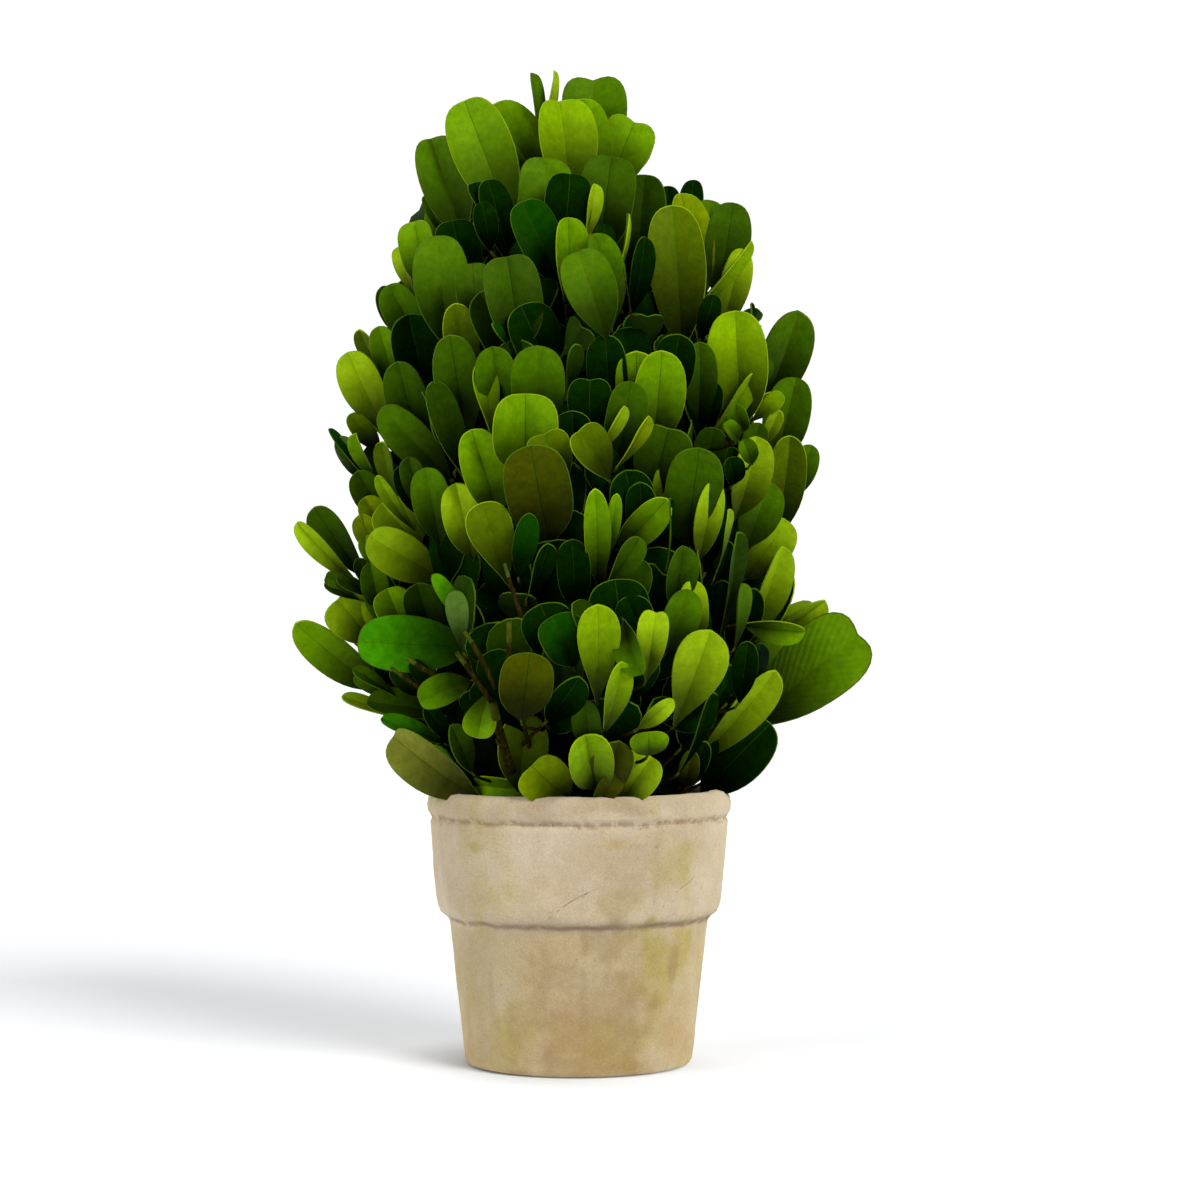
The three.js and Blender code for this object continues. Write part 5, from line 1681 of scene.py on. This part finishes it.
def make_moss_form():
    """The cone of dried moss that the sprigs are stuck into."""
    heights = np.linspace(CORE["bottom"] + 0.4, 196.0, 44)
    profile = [(max(1.5, float(core_radius_at(h)) * MOSS_SHARE), float(h)) for h in heights]
    moss = revolve("moss_form", profile, 72)
    leaned(moss)
    relief(moss, "moss_clumps", 9.0, 2, 4.0)
    relief(moss, "moss_tufts", 2.5, 3, 1.8)
    return finish_piece(moss, [name for name, _ in TIERS], [dried_moss()])


# ---------------------------------------------------------------- crown

RUFF_PAIRS = 1
# Two finer sets of sprigs: how many, their share of the reach, and where their spiral starts.
FINER_SPRIGS = [(110, 0.86, 1.2), (90, 0.72, 2.3)]
FINER_PAIRS = 3
FINER_SPACING = 5.5
WIDEST_TWIST = 18.0  # degrees that a blade twists at most, from root to tip
BARE_TWIGS = [  # foot, middle and tip as (x, height, layer) on the crown's front, with two radii
    ((-16.0, 74.5, -4), (-18.5, 84.0, -6), (-20.0, 92.0, -7), 1.2, 1.0),
    ((-20.0, 92.0, -7), (-24.0, 98.0, -6), (-28.5, 103.5, -5), 0.8, 0.65),
    ((-33.5, 97.8, -4), (-36.8, 99.6, -11), (-40.2, 102.2, -15), 0.75, 0.6),
    ((-17.5, 93.0, -7), (-15.6, 101.0, -8), (-15.8, 111.0, -9), 0.8, 0.6),
    ((-19.0, 95.0, -6), (-23.0, 104.0, -8), (-26.5, 108.5, -8), 0.7, 0.5),
    ((-34.0, 92.5, -4), (-39.0, 95.5, -5), (-45.2, 99.5, -6), 0.6, 0.45),
    ((-13.0, 112.0, -7), (-15.0, 118.0, -7), (-17.0, 124.5, -7), 0.6, 0.5),
    ((13.0, 183.0, 2), (12.0, 189.0, 0), (11.0, 195.0, -1), 0.32, 0.24),
]


def bare_twigs():
    """The bare twigs of the front, in the same form as those that carry leaves."""
    twigs = []
    for *places, thick, thin in BARE_TWIGS:
        points = [np.array([x, front_depth(x, height, layer), height]) for x, height, layer in places]
        twigs.append((*points, thick, thin))
    return twigs


def make_crown(bark):
    """Grows every leaf and twig, and joins them tier by tier."""
    crown = Crown()
    twigs = grow_front(crown, seeded_random(SEED)) + bare_twigs()
    draw = seeded_random(RULE_SEED)
    twigs += grow_by_rule(crown, ruff_shoots(draw), RUFF_PAIRS, LEAF["pair_spacing"], draw)
    shoots = even_shoots(draw, SPRIGS["count"], 1.0, 0.0)
    twigs += grow_by_rule(crown, shoots, LEAF["pairs"], LEAF["pair_spacing"], draw)
    for count, reach, phase in FINER_SPRIGS:
        shoots = even_shoots(draw, count, reach, phase)
        twigs += grow_by_rule(crown, shoots, FINER_PAIRS, FINER_SPACING, draw)
    for number, leaf in enumerate(crown.leaves):
        leaf["ribbed"] = number < len(FRONT_LEAVES)
        leaf["wave"] = draw()
        leaf["twist"] = math.radians(WIDEST_TWIST) * either(draw)
    masters = {}
    for kind in LEAF_KINDS:
        for ribbed in (True, False):
            masters[kind, ribbed] = leaf_arrays(model_leaf(kind, ribbed), kind)
    materials, tints = leaf_materials()
    for tier, (name, _) in enumerate(TIERS):
        leaves = [leaf for leaf in crown.leaves if leaf["tier"] == tier]
        piece = joined_leaves(name.replace("foliage", "leaves"), leaves, masters, tints)
        finish_leaves(piece, name, materials)
    piece = joined_twigs("twigs", twigs)
    finish_leaves(piece, TIERS[0][0], [bark, green_twig()])


def finish_leaves(piece, node, materials):
    """Gives a piece of the crown its materials and ties it to the part."""
    for material in materials:
        piece.data.materials.append(material)
    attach(piece, "root")
    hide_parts(node)


# ---------------------------------------------------------------- stage, light and camera

LENS = 93.63
CAMERA_PLACE = (0.0054, -0.785, 0.116)
CAMERA_TARGET = (0.0054, 0.0, 0.116)
FLOOR_GLOW = 0.42
SURROUND = 0.09
BACKDROP = 1.05
SOFTBOXES = [  # name, strength, spread in degrees, where it shines from, and its hue
    ("key_softbox", 3.05, 30.0, (0.64, -0.74, 0.66), "#fffdf9"),
    ("fill_softbox", 2.7, 60.0, (-1.0, -0.62, 0.22), "#ffffff"),
    ("back_softbox", 0.7, 45.0, (-0.5, 0.75, 0.6), "#ffffff"),
]


def make_stage():
    """A plain pale sweep that glows a little, so that shadows on it stay light."""
    bpy.ops.object.select_all(action="DESELECT")
    bpy.ops.mesh.primitive_plane_add(size=30.0, location=(0, 0, -0.0002))
    floor = bpy.context.object
    floor.name = "studio_floor"
    material, tree, shader = new_material("matt_white_card")
    place = add(tree, "TexCoord", output="Object")
    tooth = add(tree, "TexNoise", {"Vector": place, "Scale": per_metre(2.0)})
    tone = add(tree, "ValToRGB", {"Fac": tooth}, stops=[(0.0, "#d9dbdf"), (1.0, "#dee0e4")])
    # The glow fades in the corner under the pot, so that the pot stands in a dark line of shadow.
    corner = add(tree, "AmbientOcclusion", {"Distance": 25 * MM}, "AO", samples=8)
    # Painted shadow: the fade goes deeper on the left, where the pot's shadow falls, than on the right.
    aside = add(tree, "SeparateXYZ", {"Vector": place}, "X")
    least = {"Value": aside, "From Min": -20 * MM, "From Max": 30 * MM, "To Min": 0.0, "To Max": 0.38}
    fade = {"Value": corner, "From Min": 0.45, "To Min": add(tree, "MapRange", least), "To Max": FLOOR_GLOW}
    camera_ray = add(tree, "LightPath", output="Is Camera Ray")
    glow = add(tree, "Math", {0: camera_ray, 1: add(tree, "MapRange", fade)}, operation="MULTIPLY")
    dress(tree, shader, {"Base Color": tone, "Roughness": 1.0, "Specular IOR Level": 0.0})
    dress(tree, shader, {"Emission Color": colour("#ffffff"), "Emission Strength": glow})
    floor.data.materials.append(material)
    floor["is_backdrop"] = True


def make_lights():
    """The softboxes, and a dim white surround that the camera sees as a bright backdrop."""
    for name, strength, spread, place, hue in SOFTBOXES:
        data = bpy.data.lights.new(name, "SUN")
        data.energy = strength
        data.angle = math.radians(spread)
        data.color = colour(hue)[:3]
        light = bpy.data.objects.new(name, data)
        bpy.context.scene.collection.objects.link(light)
        aim(light, place, (0, 0, 0))
    world = bpy.data.worlds.new("studio")
    bpy.context.scene.world = world
    world.use_nodes = True
    tree = world.node_tree
    surround = add(tree, "Background", {"Color": colour("#ffffff"), "Strength": SURROUND})
    backdrop = add(tree, "Background", {"Color": colour("#ffffff"), "Strength": BACKDROP})
    camera_ray = add(tree, "LightPath", output="Is Camera Ray")
    both = add(tree, "MixShader", {0: camera_ray, 1: surround, 2: backdrop})
    dress(tree, tree.nodes["World Output"], {"Surface": both})


def aim(obj, place, target):
    """Stands a light or camera at a place and points it at another."""
    obj.location = place
    obj.rotation_euler = (Vector(target) - Vector(place)).to_track_quat("-Z", "Y").to_euler()


def make_camera():
    """A level long lens in front of the plant."""
    data = bpy.data.cameras.new("camera")
    data.lens = LENS
    data.sensor_width = 36.0
    data.clip_end = 100.0
    camera = bpy.data.objects.new("camera", data)
    bpy.context.scene.collection.objects.link(camera)
    aim(camera, CAMERA_PLACE, CAMERA_TARGET)
    bpy.context.scene.camera = camera
    bpy.context.scene.view_settings.view_transform = "Standard"


# ---------------------------------------------------------------- the whole scene

make_pot()
make_plug()
twig_bark_finish = twig_bark()
make_stem(twig_bark_finish)
make_moss_form()
make_crown(twig_bark_finish)
make_stage()
make_lights()
make_camera()

corners = [[list(corner) for corner in box] for box in (cad_box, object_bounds())]
